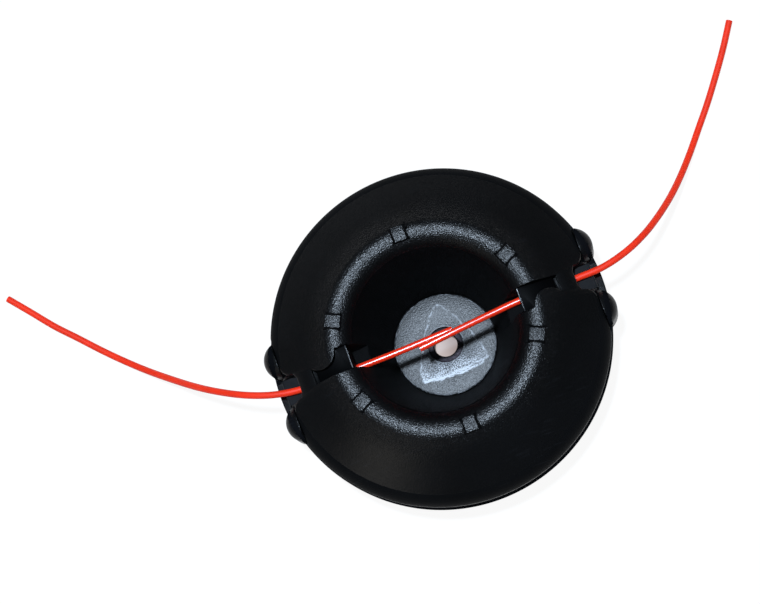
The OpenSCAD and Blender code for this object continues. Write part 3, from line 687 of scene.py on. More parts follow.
def tube(name, points, radius, resolution):
    """A round rod along points, with closed ends, as a mesh."""
    path = bpy.data.curves.new(name, "CURVE")
    path.dimensions = "3D"
    path.bevel_depth = radius
    path.bevel_resolution = resolution
    path.use_fill_caps = True
    spline = path.splines.new("POLY")
    spline.points.add(len(points) - 1)
    for target, point in zip(spline.points, points):
        target.co = (*point, 1)
    spline.use_smooth = True
    rod = bpy.data.objects.new(name, path)
    bpy.context.scene.collection.objects.link(rod)
    activate(rod)
    bpy.ops.object.convert(target="MESH")
    return bpy.context.object


def place(tree, kind, x, y, **inputs):
    """Adds a shader node, with values for its inputs by name."""
    made = tree.nodes.new(kind)
    made.location = (x, y)
    for name, value in inputs.items():
        made.inputs[name.replace("_", " ")].default_value = value
    return made


def wire(tree, source, output, target, name):
    """Links an output to an input."""
    tree.links.new(source.outputs[output], target.inputs[name])


def sum_of(tree, kind, x, y, first, second=None, third=None, clamp=False):
    """A Math node between sockets or numbers."""
    made = tree.nodes.new("ShaderNodeMath")
    made.operation = kind
    made.use_clamp = clamp
    made.location = (x, y)
    for slot, value in enumerate((first, second, third)):
        if value is None:
            continue
        if isinstance(value, (int, float)):
            made.inputs[slot].default_value = value
        else:
            tree.links.new(value, made.inputs[slot])
    return made.outputs[0]


def ramp_of(tree, x, y, value, low, high, to_low=0.0, to_high=1.0):
    """A smooth map of a value from one range to another."""
    made = tree.nodes.new("ShaderNodeMapRange")
    made.interpolation_type = "SMOOTHSTEP"
    made.location = (x, y)
    tree.links.new(value, made.inputs["Value"])
    for name, number in (("From Min", low), ("From Max", high), ("To Min", to_low), ("To Max", to_high)):
        made.inputs[name].default_value = number
    return made.outputs["Result"]


def new_group(name, inputs, outputs):
    """An empty shader node group with named sockets: the tree, its input node and its output node."""
    tree = bpy.data.node_groups.new(name, "ShaderNodeTree")
    for label, kind, value in inputs:
        socket = tree.interface.new_socket(name=label, in_out="INPUT", socket_type=kind)
        if value is not None:
            socket.default_value = value
    for label, kind in outputs:
        tree.interface.new_socket(name=label, in_out="OUTPUT", socket_type=kind)
    return tree, tree.nodes.new("NodeGroupInput"), tree.nodes.new("NodeGroupOutput")


def noise(tree, x, y, vector, scale, detail=2.0, roughness=0.5, stretch=None):
    """Noise on a vector, finer along some axes when it is stretched."""
    if stretch:
        mapping = place(tree, "ShaderNodeMapping", x - 200, y, Rotation=stretch[1], Scale=stretch[0])
        tree.links.new(vector, mapping.inputs["Vector"])
        vector = mapping.outputs["Vector"]
    made = place(tree, "ShaderNodeTexNoise", x, y, Detail=detail, Roughness=roughness)
    tree.links.new(vector, made.inputs["Vector"])
    if isinstance(scale, (int, float)):
        made.inputs["Scale"].default_value = scale
    else:
        tree.links.new(scale, made.inputs["Scale"])
    return made.outputs["Fac"]


def grain_group():
    """Fine grain of moulded, glass-filled nylon: a height, a mask of flecks and a slow drift in tone."""
    tree, given, out = new_group(
        "Moulded grain",
        [("Vector", "NodeSocketVector", None), ("Scale", "NodeSocketFloat", 1500.0)],
        [("Height", "NodeSocketFloat"), ("Flecks", "NodeSocketFloat"), ("Drift", "NodeSocketFloat")])
    vector = given.outputs["Vector"]
    coarse = noise(tree, -400, 200, vector, given.outputs["Scale"], 0.5, 0.5)
    fine_scale = sum_of(tree, "MULTIPLY", -600, 0, given.outputs["Scale"], 2.6)
    fine = noise(tree, -400, 0, vector, fine_scale, 2.0, 0.7)
    drift = noise(tree, -400, -200, vector, 28.0, 3.0, 0.55)
    height = sum_of(tree, "ADD", -100, 200, sum_of(tree, "MULTIPLY", -200, 200, coarse, 0.85),
                    sum_of(tree, "MULTIPLY", -200, 0, fine, 0.08))
    tree.links.new(height, out.inputs["Height"])
    tree.links.new(ramp_of(tree, -100, 0, fine, 0.5, 0.68), out.inputs["Flecks"])
    tree.links.new(ramp_of(tree, -100, -200, drift, 0.3, 0.7), out.inputs["Drift"])
    return tree


def scratch_group():
    """Thin scuffs that run in three directions: a mask that also serves as a height."""
    tree, given, out = new_group(
        "Fine scuffs",
        [("Vector", "NodeSocketVector", None), ("Scale", "NodeSocketFloat", 90.0),
         ("Amount", "NodeSocketFloat", 0.5)],
        [("Mask", "NodeSocketFloat")])
    vector = given.outputs["Vector"]
    total = None
    for number, (angle, across_scale) in enumerate(((0.4, 14.0), (1.5, 18.0), (2.5, 11.0))):
        stretch = ((1.0, across_scale, 1.0), (0.0, 0.0, angle))
        y = -250 * number
        streak = noise(tree, -500, y, vector, given.outputs["Scale"], 2.0, 0.5, stretch)
        thin = ramp_of(tree, -250, y, streak, 0.64, 0.70)
        total = thin if total is None else sum_of(tree, "MAXIMUM", 0, y, total, thin)
    patch = ramp_of(tree, -250, 300, noise(tree, -500, 300, vector, 45.0, 2.0, 0.5), 0.5, 0.66)
    mask = sum_of(tree, "MULTIPLY", 200, 0, total, sum_of(tree, "MULTIPLY", 100, 200, patch, given.outputs["Amount"]))
    tree.links.new(mask, out.inputs["Mask"])
    return tree


def start_material(name):
    """A new material: its node tree, its Principled shader and its Object coordinates."""
    made = bpy.data.materials.new(name)
    made.use_nodes = True
    tree = made.node_tree
    shader = tree.nodes["Principled BSDF"]
    shader.location = (700, 0)
    coordinates = place(tree, "ShaderNodeTexCoord", -900, 0)
    return made, tree, shader, coordinates.outputs["Object"]


def add_group(tree, x, y, group, vector, **inputs):
    """Places a shared node group on a vector, with its own values."""
    made = tree.nodes.new("ShaderNodeGroup")
    made.node_tree = bpy.data.node_groups[group]
    made.location = (x, y)
    tree.links.new(vector, made.inputs["Vector"])
    for name, value in inputs.items():
        made.inputs[name].default_value = value
    return made


def blend_colors(tree, x, y, mask, first, second):
    """Two colours mixed by a mask. Either may be a socket."""
    made = tree.nodes.new("ShaderNodeMix")
    made.data_type = "RGBA"
    made.location = (x, y)
    tree.links.new(mask, made.inputs["Factor"])
    for name, value in (("A", first), ("B", second)):
        socket = next(i for i in made.inputs if i.name == name and i.type == "RGBA")
        if isinstance(value, bpy.types.NodeSocket):
            tree.links.new(value, socket)
        else:
            socket.default_value = value
    return next(o for o in made.outputs if o.type == "RGBA")


def scaled(color, factor):
    """A colour made lighter or darker."""
    return tuple(channel * factor for channel in color[:3]) + (1.0,)


def bump_into(tree, shader, height, strength, distance):
    """A height that feeds the shader's normal."""
    bump = place(tree, "ShaderNodeBump", 450, -300, Strength=strength, Distance=distance)
    tree.links.new(height, bump.inputs["Height"])
    tree.links.new(bump.outputs["Normal"], shader.inputs["Normal"])


def moulded_plastic(name, color, roughness, specular, grain_depth):
    """Black glass-filled nylon with its grain and a few scuffs, calmer on the flange than on the crest."""
    made, tree, shader, vector = start_material(name)
    grain = add_group(tree, -600, 100, "Moulded grain", vector, Scale=GRAIN_SCALE)
    scuffs = add_group(tree, -600, -300, "Fine scuffs", vector, Scale=90.0, Amount=0.35)
    tone = blend_colors(tree, -200, 200, grain.outputs["Drift"], scaled(color, 0.7), scaled(color, 1.3))
    color_out = blend_colors(tree, 50, 200, scuffs.outputs["Mask"], tone, scaled(color, 6.0))
    tree.links.new(color_out, shader.inputs["Base Color"])
    flat = place(tree, "ShaderNodeMapping", -900, -600, Scale=(1.0, 1.0, 0.0))
    tree.links.new(vector, flat.inputs["Vector"])
    radius = place(tree, "ShaderNodeVectorMath", -700, -600)
    radius.operation = "LENGTH"
    wire(tree, flat, "Vector", radius, 0)
    tree.links.new(ramp_of(tree, 50, -100, grain.outputs["Flecks"], 0.0, 1.0, roughness + 0.05, roughness - 0.05),
                   shader.inputs["Roughness"])
    shader.inputs["Specular IOR Level"].default_value = specular
    calm = ramp_of(tree, 50, -400, radius.outputs["Value"], CALM_FROM_R, CALM_FULL_R, 1.0, 0.3)
    bump_into(tree, shader, sum_of(tree, "MULTIPLY", 300, -300, grain.outputs["Height"], calm), 1.0, grain_depth)
    return made


def side_circle(first, second, radius):
    """Centre of the big circle whose arc bows outwards from the first corner to the second."""
    first, second = Vector(first), Vector(second)
    along = second - first
    inward = Vector((-along.y, along.x)).normalized()
    reach = math.sqrt(radius ** 2 - (along.length / 2) ** 2)
    return (first + second) / 2 + inward * reach


def hub_nylon(name, color):
    """The cup floor's nylon, with its rubbed three-sided mark and a painted highlight along the disc's edge."""
    made, tree, shader, vector = start_material(name)
    grain = add_group(tree, -600, 100, "Moulded grain", vector, Scale=GRAIN_SCALE)
    scuffs = add_group(tree, -600, -300, "Fine scuffs", vector, Scale=90.0, Amount=0.3)
    flat = place(tree, "ShaderNodeMapping", -1500, -900, Scale=(1.0, 1.0, 0.0))
    tree.links.new(vector, flat.inputs["Vector"])
    flat = flat.outputs["Vector"]

    def distance_to(point, y):
        far = place(tree, "ShaderNodeVectorMath", -1200, y)
        far.operation = "DISTANCE"
        tree.links.new(flat, far.inputs[0])
        far.inputs[1].default_value = (*point, 0)
        return far.outputs["Value"]

    waver = sum_of(tree, "MULTIPLY", -1000, -1500, sum_of(
        tree, "SUBTRACT", -1100, -1500, noise(tree, -1300, -1500, flat, 260.0, 3.0, 0.6), 0.5), 2.6 * MM)
    sides = []
    corners = WORN_CORNERS + WORN_CORNERS[:1]
    for number, (here, there) in enumerate(zip(corners, corners[1:])):
        away = distance_to(side_circle(here, there, WORN_SIDE_R), -1000 - 150 * number)
        sides.append(sum_of(tree, "SUBTRACT", -1000, -1000 - 150 * number, away, WORN_SIDE_R))
    edge = sum_of(tree, "SMOOTH_MAX", -800, -1000, sides[0], sides[1], 5 * MM)
    edge = sum_of(tree, "SMOOTH_MAX", -700, -1050, edge, sides[2], 5 * MM)
    edge = sum_of(tree, "ADD", -600, -1050, edge, waver)
    inside = ramp_of(tree, -400, -900, edge, -0.5 * MM, 0.3 * MM, 1, 0)
    speck = ramp_of(tree, -400, -1250, noise(tree, -600, -1250, vector, 2200.0, 1.0, 0.6), 0.42, 0.60)
    breaks = ramp_of(tree, -400, -1400, noise(tree, -600, -1400, vector, 500.0, 3.0, 0.6), 0.38, 0.62)
    from_line = sum_of(tree, "ABSOLUTE", -400, -1050, sum_of(tree, "ADD", -500, -1050, edge, 0.4 * MM))
    outline = sum_of(tree, "MULTIPLY", -200, -1100, breaks,
                     ramp_of(tree, -300, -1050, from_line, 0.1 * MM, 0.5 * MM, 1, 0))
    streaks = ramp_of(tree, -400, -1700, noise(
        tree, -600, -1700, vector, 170.0, 4.0, 0.65, ((1.0, 6.0, 1.0), (0, 0, -0.02))), 0.40, 0.60)
    patch = ramp_of(tree, -400, -1800, noise(tree, -600, -1800, vector, 130.0, 2.0, 0.5), 0.35, 0.55, 0.45, 1.0)
    low_side = sum_of(tree, "ADD", -600, -1550, sides[1], waver)
    along = place(tree, "ShaderNodeSeparateXYZ", -1200, -1700)
    tree.links.new(vector, along.inputs["Vector"])
    leftward = ramp_of(tree, -1000, -1700, along.outputs["X"], 4.0 * MM, 15.0 * MM, 1.0, 0.25)
    smear = sum_of(tree, "MULTIPLY", -100, -1500, sum_of(tree, "MULTIPLY", -200, -1500, streaks, leftward),
                   ramp_of(tree, -300, -1550, low_side, -4.2 * MM, -0.8 * MM))
    haze = sum_of(tree, "MULTIPLY", -100, -1650, sum_of(tree, "MULTIPLY", -200, -1650, speck, patch),
                  sum_of(tree, "MULTIPLY", -200, -1600, leftward,
                         ramp_of(tree, -300, -1650, low_side, -9.5 * MM, -4.0 * MM)))
    rubbed = sum_of(tree, "ADD", 0, -1600, smear,
                    sum_of(tree, "MULTIPLY", -100, -1700, haze, 0.8))
    rubbed = sum_of(tree, "ADD", 50, -1500, rubbed, sum_of(tree, "MULTIPLY", -100, -1350, speck, 0.10))
    rubbed = sum_of(tree, "ADD", 100, -1400, sum_of(tree, "MULTIPLY", 50, -1400, rubbed, inside),
                    sum_of(tree, "MULTIPLY", 0, -1200, outline, 0.5))
    # A painted highlight along the disc's chamfered edge, and a thin light circle round the bushing seat, both broken
    # up by noise.
    from_axis = distance_to((0, 0), -2000)
    edge_highlight_and_seat_ring = sum_of(tree, "MULTIPLY", 0, -2000, breaks, sum_of(
        tree, "MAXIMUM", -100, -2000,
        ramp_of(tree, -300, -2000, sum_of(tree, "ABSOLUTE", -400, -2000, sum_of(
            tree, "SUBTRACT", -500, -2000, from_axis, BUSHING_R + 0.5 * MM)), 0.05 * MM, 0.3 * MM, 0.3, 0),
        ramp_of(tree, -300, -2150, from_axis, DISC_R - 0.7 * MM, DISC_R - 0.3 * MM, 0, 0.3)))
    # The rubbed mark and the painted edge highlight share one light grey colour and a rougher finish.
    wear_and_highlight = sum_of(tree, "MAXIMUM", 200, -1200, sum_of(tree, "MINIMUM", 150, -1200, rubbed, 1.0), edge_highlight_and_seat_ring)
    tone = blend_colors(tree, -200, 200, grain.outputs["Drift"], scaled(color, 0.7), scaled(color, 1.3))
    tone = blend_colors(tree, 50, 200, scuffs.outputs["Mask"], tone, scaled(color, 4.0))
    tone = blend_colors(tree, 250, 200, grain.outputs["Flecks"], tone, (0.045, 0.050, 0.058, 1))
    tone = blend_colors(tree, 450, 200, wear_and_highlight, tone, (0.74, 0.77, 0.82, 1))
    tree.links.new(tone, shader.inputs["Base Color"])
    gloss = ramp_of(tree, 50, -100, grain.outputs["Flecks"], 0.0, 1.0, 0.46, 0.36)
    tree.links.new(sum_of(tree, "ADD", 450, -100, gloss, sum_of(tree, "MULTIPLY", 300, -150, wear_and_highlight, 0.3)),
                   shader.inputs["Roughness"])
    shader.inputs["Specular IOR Level"].default_value = 0.62
    bump_into(tree, shader, grain.outputs["Height"], 1.0, 0.65 * GRAIN_DEPTH)
    return made


def nylon_line(name, color, roughness, specular, coat=0.0):
    """Extruded nylon: slightly cloudy and faintly drawn along its length."""
    made, tree, shader, vector = start_material(name)
    uv = place(tree, "ShaderNodeUVMap", -900, -300)
    drawn = noise(tree, -500, -300, uv.outputs["UV"], 1.0, 2.0, 0.5, ((40.0, 3.0, 1.0), (0, 0, 0)))
    cloud = noise(tree, -500, 0, vector, 160.0, 3.0, 0.5)
    tone = blend_colors(tree, -100, 200, ramp_of(tree, -300, 0, cloud, 0.35, 0.65),
                        scaled(color, 0.93), scaled(color, 1.04))
    tree.links.new(tone, shader.inputs["Base Color"])
    tree.links.new(ramp_of(tree, -300, -300, drawn, 0.3, 0.7, roughness, roughness + 0.06),
                   shader.inputs["Roughness"])
    shader.inputs["Specular IOR Level"].default_value = specular
    shader.inputs["Coat Weight"].default_value = coat
    shader.inputs["Coat Roughness"].default_value = 0.27
    shader.inputs["Coat IOR"].default_value = 1.8
    shader.inputs["Subsurface Weight"].default_value = 0.12
    shader.inputs["Subsurface Radius"].default_value = (0.9, 0.25, 0.15)
    shader.inputs["Subsurface Scale"].default_value = 1.0 * MM
    bump_into(tree, shader, cloud, 0.2, 0.02 * MM)
    return made


def plain_metal(name, color, roughness, turned_marks=600.0):
    """Steel with fine marks and a slow change in its finish."""
    made, tree, shader, vector = start_material(name)
    marks = noise(tree, -500, 0, vector, turned_marks, 3.0, 0.6)
    patches = noise(tree, -500, -300, vector, 90.0, 2.0, 0.5)
    tone = blend_colors(tree, -100, 200, ramp_of(tree, -300, -200, patches, 0.35, 0.65),
                        scaled(color, 0.8), scaled(color, 1.1))
    tree.links.new(tone, shader.inputs["Base Color"])
    tree.links.new(ramp_of(tree, -300, 0, marks, 0.3, 0.7, roughness - 0.08, roughness + 0.1),
                   shader.inputs["Roughness"])
    shader.inputs["Metallic"].default_value = 1.0
    bump_into(tree, shader, marks, 0.25, 0.02 * MM)
    return made


def dress(piece, material):
    """Gives a piece one material."""
    piece.data.materials.clear()
    piece.data.materials.append(material)


def refinish(piece, material, test):
    """Gives the faces that pass a test of their centre and normal another material."""
    if material.name not in piece.data.materials:
        piece.data.materials.append(material)
    number = piece.data.materials.find(material.name)
    for face in piece.data.polygons:
        if test(face.center, face.normal):
            face.material_index = number


def line_piece(name, node_name, route, size, materials):
    """A nylon line along its route, cut square at both ends."""
    points = catmull_rom(route, 6)
    line = tube(name, points, size.diameter / 2, 5)
    soften(line, 0.12 * MM, 60)
    dress(line, materials[0])
    refinish(line, materials[1], lambda at, normal: abs(at.x) < PAD_END_X)
    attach(line, "root")
    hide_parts(node_name)
    return line


def make_groups():
    """The shader node groups that the finishes share."""
    for maker in (grain_group, scratch_group):
        maker()


class TRIMMER_OT_camera(bpy.types.Operator):
    """Set up the camera from which the head was photographed"""

    bl_idname = "trimmer.camera"
    bl_label = "Camera"

    def execute(self, context):
        looks = context.scene.trimmer_stage
        bpy.ops.object.camera_add(location=looks.camera_at)
        camera = context.object
        camera.name = "photo_camera"
        camera.data.sensor_width = SENSOR_WIDTH_MM
        camera.data.lens = looks.focal_px / IMAGE_WIDTH * SENSOR_WIDTH_MM
        right = Vector((0.930284, -0.34188, -0.133002))
        up = Vector((0.361436, 0.91622, 0.172931))
        back = right.cross(up).normalized()
        turn = Matrix((right, up, back)).transposed()
        camera.rotation_mode = "QUATERNION"
        camera.rotation_quaternion = turn.to_quaternion()
        context.scene.camera = camera
        return {"FINISHED"}


class TRIMMER_OT_lines(bpy.types.Operator):
    """Lay the two cutting lines along their routes"""

    bl_idname = "trimmer.lines"
    bl_label = "Lines"

    def execute(self, context):
        size = context.scene.trimmer_line
        nylon = (nylon_line("scuffed line nylon", size.color, 0.5, 0.3), nylon_line("line nylon", size.color, 0.4, 0.2, 1.0))
        line_piece("cutting_line_right", "line_right", LINE_RIGHT_ROUTE, size, nylon)
        line_piece("cutting_line_left", "line_left", LINE_LEFT_ROUTE, size, nylon)
        return {"FINISHED"}


class TRIMMER_OT_cover(bpy.types.Operator):
    """Spin, cut and finish the cover moulding"""

    bl_idname = "trimmer.cover"
    bl_label = "Cover"

    def execute(self, context):
        size = context.scene.trimmer_cover
        base = context.scene.trimmer_base
        color = context.scene.trimmer_finish.cover_color
        # The recess and its walls get a smooth nylon whose colour is darkened to six tenths as painted shade in the
        # recess; the slot gets the dull nylon.
        smooth = moulded_plastic("recess nylon", scaled(color, 0.6), 0.35, 0.05, 0.02 * MM)
        dull = moulded_plastic("dull nylon", color, 0.72, 0.08, GRAIN_DEPTH)
        cover = spun("cover_moulding", shell_section(size), size.turns)
        dress(cover, moulded_plastic("cover nylon", color, 0.30, 0.38, GRAIN_DEPTH))
        fillings = cover_fillings(size)
        combine(cover, "UNION", twin(fillings), fillings)
        posts = joined([
            post("screw_post", polar(SCREW_CIRCLE_R, angle), SCREW_POST_R, floor_height(base, SCREW_CIRCLE_R)
                 + base.floor_t + 3 * MM, size.crest_z, 48)
            for angle in SCREW_ANGLES])
        combine(posts, "INTERSECT", spun("form", form_section(size, FILLING_INSET), size.turns))
        lugs = joined([crest_lug(size, angle) for angle in LUG_ANGLES])
        combine(cover, "UNION", posts, lugs)
        for cut in cover_cuts(size):
            if cut.name.startswith("slot"):
                dress(cut, dull)
            elif cut.name.startswith("recess"):
                dress(cut, smooth)
            combine(cover, "DIFFERENCE", twin(cut), cut)
        holes = joined([
            post("screw_hole", polar(SCREW_CIRCLE_R, angle), SCREW_R, 0, SCREW_TOP, 32)
            for angle in SCREW_ANGLES])
        combine(cover, "DIFFERENCE", holes)
        soften(cover, size.edge)
        crest_r = size.rim_r - size.flange_w
        refinish(cover, dull, lambda at, normal: (
            (at.xy.length > RIM_DULL_R and at.xy.dot(normal.xy) > 0)
            or (at.z > size.crest_z - MM and normal.z < 0.8)))
        refinish(cover, moulded_plastic("cup wall nylon", color, 0.6, 0.1, GRAIN_DEPTH), lambda at, normal: (
            at.xy.length < crest_r - 3 * MM and at.xy.dot(normal.xy) < 0 and 0 < normal.z < 0.5))
        # The narrow land at the recess's inner edge: its colour is lightened eight times as a painted highlight along
        # that edge.
        refinish(cover, moulded_plastic("painted highlight land nylon", scaled(color, 8.0), 0.32, 0.7, 0.1 * GRAIN_DEPTH),
                 lambda at, normal: SLOT_X < abs(at.x) < SLOT_X + RECESS_LAND and abs(at.y) < BOSS_R
                 and size.crest_z - 3 * MM < at.z < size.crest_z - MM and normal.z > 0.96)
        # The rim's upright band: its colour is doubled as a painted highlight, the thin bright reflection along the
        # rim.
        refinish(cover, moulded_plastic("painted highlight band nylon", scaled(color, 2.0), 0.38, 0.35, 0.3 * GRAIN_DEPTH),
                 lambda at, normal: (
                     shoulder_height(size) - size.band_h < at.z < shoulder_height(size)
                     and at.xy.length > size.rim_r - MM and at.xy.dot(normal.xy) > 0))
        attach(cover, "root")
        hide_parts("cover")
        return {"FINISHED"}


class TRIMMER_OT_base(bpy.types.Operator):
    """Spin, build up, core and finish the base moulding"""

    bl_idname = "trimmer.base"
    bl_label = "Base"

    def execute(self, context):
        size = context.scene.trimmer_base
        cover = context.scene.trimmer_cover
        base = spun("base_moulding", base_section(size, cover), cover.turns)
        combine(base, "UNION", joined([base_rib(size, angle) for angle in RIB_ANGLES]))
        side = exit_side(size, cover)
        combine(base, "UNION", twin(side), side)
        for side_y in (-1, 1):
            stump = guide_post(size, cover, side_y)
            combine(base, "UNION", twin(stump), stump)
        bosses = joined([
            post("screw_boss", polar(SCREW_CIRCLE_R, angle), SCREW_BOSS_R, SCREW_BOSS_Z,
                 floor_height(size, SCREW_CIRCLE_R) + size.floor_t + 3 * MM, 48)
            for angle in SCREW_ANGLES])
        combine(base, "UNION", bosses)
        for cut in base_cuts(size):
            combine(base, "DIFFERENCE", twin(cut), cut)
        combine(base, "DIFFERENCE", post("flange_room", (0, 0), BUSHING_FLANGE_R + 0.1 * MM, HUB_RECESS - MM,
                                         HUB_RECESS + BUSHING_FLANGE_T + 0.02 * MM))
        for radius, low, high in ((SCREW_HEAD_ROOM_R, SCREW_BOSS_Z - REACH, SCREW_SEAT_Z),
                                  (SCREW_R + 0.2 * MM, 0, cover.crest_z)):
            holes = joined([post("screw_hole", polar(SCREW_CIRCLE_R, angle), radius, low, high, 48)
                            for angle in SCREW_ANGLES])
            combine(base, "DIFFERENCE", holes)
        soften(base, size.edge)
        color = context.scene.trimmer_finish.base_color
        dress(base, moulded_plastic("base nylon", color, 0.36, 0.25, GRAIN_DEPTH))
        refinish(base, moulded_plastic("ground rim nylon", scaled(color, 2.5), 0.9, 0.0, GRAIN_DEPTH), lambda at, normal: (
            size.rim_r - 2 * MM < at.xy.length < size.rim_r + 0.1 * MM and at.xy.dot(normal.xy) > 0))
        refinish(base, moulded_plastic("shelf nylon", scaled(color, 3.0), 0.6, 0.12, 0.3 * GRAIN_DEPTH),
                 lambda at, normal: abs(at.x) > PAD_END_X and abs(at.z - CHANNEL_Z) < 0.6 * MM and normal.z > 0.6)
        refinish(base, hub_nylon("cup floor nylon", color), lambda at, normal: (
            at.z > HUB_H - 2 * DISC_CHAMFER and at.xy.length < DISC_R and normal.z > 0.5))
        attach(base, "root")
        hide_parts("base_housing")
        return {"FINISHED"}


class TRIMMER_OT_bushing(bpy.types.Operator):
    """Turn the arbor bushing"""

    bl_idname = "trimmer.bushing"
    bl_label = "Bushing"

    def execute(self, context):
        low = HUB_RECESS
        bushing = spun("arbor_bushing_turned", close_loop([
            (ARBOR_R + ARBOR_EDGE, low), (BUSHING_FLANGE_R, low), (BUSHING_FLANGE_R, low + BUSHING_FLANGE_T),
            (BUSHING_R, low + BUSHING_FLANGE_T), (BUSHING_R, BUSHING_TOP), (ARBOR_R + ARBOR_EDGE, BUSHING_TOP),
            (ARBOR_R, BUSHING_TOP - ARBOR_EDGE), (ARBOR_R, low + ARBOR_EDGE)]), 120)
        soften(bushing, 0.1 * MM, 30)
        dress(bushing, plain_metal("bushing steel", (0.022, 0.019, 0.022, 1), 0.5))
        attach(bushing, "root")
        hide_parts("arbor_bushing")
        return {"FINISHED"}


class TRIMMER_OT_springs(bpy.types.Operator):
    """Wind the torsion springs over the cams"""

    bl_idname = "trimmer.springs"
    bl_label = "Springs"

    def execute(self, context):
        wire_steel = plain_metal("spring wire", (0.42, 0.42, 0.43, 1), 0.3)
        for side, turned_by in (("right", 0.0), ("left", HALF_TURN)):
            spring = tube("torsion_spring_" + side, wire_route(turned_by), WIRE_R, 2)
            dress(spring, wire_steel)
            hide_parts("cam_spring_" + side)
            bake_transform(spring)
        return {"FINISHED"}


class TRIMMER_OT_finishes(bpy.types.Operator):
    """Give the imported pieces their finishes"""

    bl_idname = "trimmer.finishes"
    bl_label = "Finishes"

    def execute(self, context):
        finishes = {
            "cam": plain_metal("sintered steel", (0.20, 0.20, 0.21, 1), 0.55, 1400.0),
            "cam_pin": plain_metal("ground steel", (0.55, 0.55, 0.56, 1), 0.25),
            "cam_washer": plain_metal("washer steel", (0.5, 0.5, 0.51, 1), 0.35),
            "wear_plate": plain_metal("hard plate steel", (0.38, 0.38, 0.4, 1), 0.35),
            "cover_screw": plain_metal("black screw steel", (0.05, 0.05, 0.055, 1), 0.45),
        }
        for name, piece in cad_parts.items():
            kind = next((k for k in sorted(finishes, key=len, reverse=True) if name.startswith(k)), None)
            if kind:
                dress(piece, finishes[kind])
        return {"FINISHED"}


class TRIMMER_OT_stage(bpy.types.Operator):
    """Lay the floor and hang the lamps"""

    bl_idname = "trimmer.stage"
    bl_label = "Stage"

    def execute(self, context):
        looks = context.scene.trimmer_stage
        deselect()
        bpy.ops.mesh.primitive_plane_add(size=looks.floor_size, location=(0, 0, 0))
        floor = context.object
        floor.name = "floor"
        floor.data.materials.append(floor_material())
        softbox("overhead softbox", (-0.03, 0.05, 1.5), 0.11, looks.key_power, (0.83, 1, 1.2))
        softbox("ceiling softbox", (-0.07, 0.3, 1.6), 1.2, looks.ceiling_power, (0.83, 1, 1.2))
        softbox("low warm softbox", (-1.35, -0.98, 1.09), 0.8, looks.side_power, (1, 0.95, 0.88))
        world = bpy.data.worlds.new("studio")
        world.use_nodes = True
        world.node_tree.nodes["Background"].inputs["Color"].default_value = (1, 1, 1, 1)
        world.node_tree.nodes["Background"].inputs["Strength"].default_value = looks.world_strength
        context.scene.world = world
        context.scene.view_settings.view_transform = "Standard"
        return {"FINISHED"}


def softbox(name, location, size, power, color):
    """A round soft lamp that points at the head."""
    bpy.ops.object.light_add(type="AREA", location=location)
    lamp = bpy.context.object
    lamp.name = name
    lamp.data.shape = "DISK"
    lamp.data.size = size
    lamp.data.energy = power
    lamp.data.color = color
    lamp.visible_camera = False
    lamp.rotation_mode = "QUATERNION"
    lamp.rotation_quaternion = lamp.location.to_track_quat("Z", "Y")
    return lamp


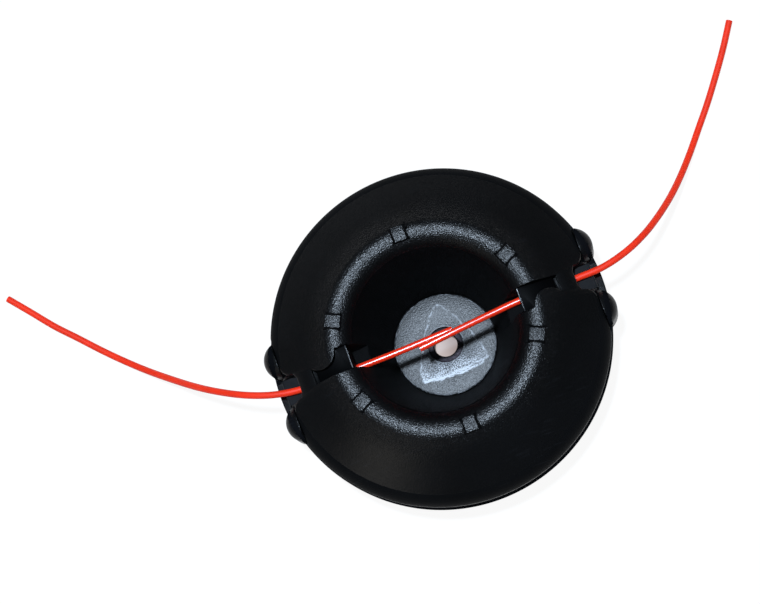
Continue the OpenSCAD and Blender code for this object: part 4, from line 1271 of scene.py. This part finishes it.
def floor_material():
    """A pale floor that the camera and mirrors see as white, with the head's shadow on it and a painted shadow under
    the bore.
    """
    made = bpy.data.materials.new("pale floor")
    made.use_nodes = True
    tree = made.node_tree
    tree.nodes.clear()
    output = place(tree, "ShaderNodeOutputMaterial", 800, 0)
    rays = place(tree, "ShaderNodeLightPath", -600, 200)
    seen = sum_of(tree, "MAXIMUM", -200, 200, rays.outputs["Is Camera Ray"],
                  sum_of(tree, "MAXIMUM", -400, 200, rays.outputs["Is Glossy Ray"],
                         rays.outputs["Is Transmission Ray"]))
    plain = place(tree, "ShaderNodeBsdfDiffuse", 0, 0, Color=(0.8, 0.8, 0.8, 1))
    shade = place(tree, "ShaderNodeBsdfDiffuse", 0, -200, Color=(0.1, 0.1, 0.1, 1))
    glow = place(tree, "ShaderNodeEmission", 0, -400, Strength=0.93)
    spot = place(tree, "ShaderNodeTexCoord", -600, -400)
    far = place(tree, "ShaderNodeVectorMath", -400, -400)
    far.operation = "LENGTH"
    wire(tree, spot, "Object", far, 0)
    # Under the bore the glow is painted shadow: pinkish grey as a painted reflection of the red line, darker towards
    # +X, fading to white by the hub recess.
    lit = ramp_of(tree, -200, -400, far.outputs["Value"], ARBOR_R, HUB_RECESS_R)
    parts = place(tree, "ShaderNodeSeparateXYZ", -400, -700)
    wire(tree, spot, "Object", parts, "Vector")
    bore_shadow_slope = ramp_of(tree, -200, -700, parts.outputs["X"], -ARBOR_R, ARBOR_R)
    painted_bore_shadow = blend_colors(tree, -150, -600, bore_shadow_slope, (0.62, 0.54, 0.53, 1), (0.38, 0.31, 0.30, 1))
    tree.links.new(blend_colors(tree, -50, -500, lit, painted_bore_shadow, (1, 1, 1, 1)), glow.inputs["Color"])
    both = place(tree, "ShaderNodeAddShader", 200, -300)
    wire(tree, shade, "BSDF", both, 0)
    wire(tree, glow, "Emission", both, 1)
    mix = place(tree, "ShaderNodeMixShader", 500, 0)
    tree.links.new(seen, mix.inputs["Fac"])
    wire(tree, plain, "BSDF", mix, 1)
    wire(tree, both, "Shader", mix, 2)
    wire(tree, mix, "Shader", output, "Surface")
    return made


class TRIMMER_PT_panel(bpy.types.Panel):
    """Lists the steps in the 3D view's sidebar"""

    bl_label = "Trimmer Head"
    bl_idname = "TRIMMER_PT_panel"
    bl_space_type = "VIEW_3D"
    bl_region_type = "UI"
    bl_category = "Trimmer Head"

    def draw(self, context):
        for step in STEPS:
            self.layout.operator(step.bl_idname)


STEPS = (
    TRIMMER_OT_camera, TRIMMER_OT_lines, TRIMMER_OT_cover, TRIMMER_OT_base, TRIMMER_OT_bushing,
    TRIMMER_OT_springs, TRIMMER_OT_finishes, TRIMMER_OT_stage,
)
GROUPS = {
    "trimmer_cover": CoverSizes,
    "trimmer_base": BaseSizes,
    "trimmer_line": LineSizes,
    "trimmer_finish": FinishLooks,
    "trimmer_stage": StageLooks,
}


def register():
    for group in GROUPS.values():
        bpy.utils.register_class(group)
    for step in STEPS:
        bpy.utils.register_class(step)
    bpy.utils.register_class(TRIMMER_PT_panel)
    for name, group in GROUPS.items():
        setattr(bpy.types.Scene, name, bpy.props.PointerProperty(type=group))


def unregister():
    for name in GROUPS:
        delattr(bpy.types.Scene, name)
    bpy.utils.unregister_class(TRIMMER_PT_panel)
    for step in reversed(STEPS):
        bpy.utils.unregister_class(step)
    for group in GROUPS.values():
        bpy.utils.unregister_class(group)


def main():
    register()
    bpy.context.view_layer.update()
    make_groups()
    for step in STEPS:
        getattr(bpy.ops.trimmer, step.bl_idname.split(".")[1])()


if __name__ == "__main__":
    main()
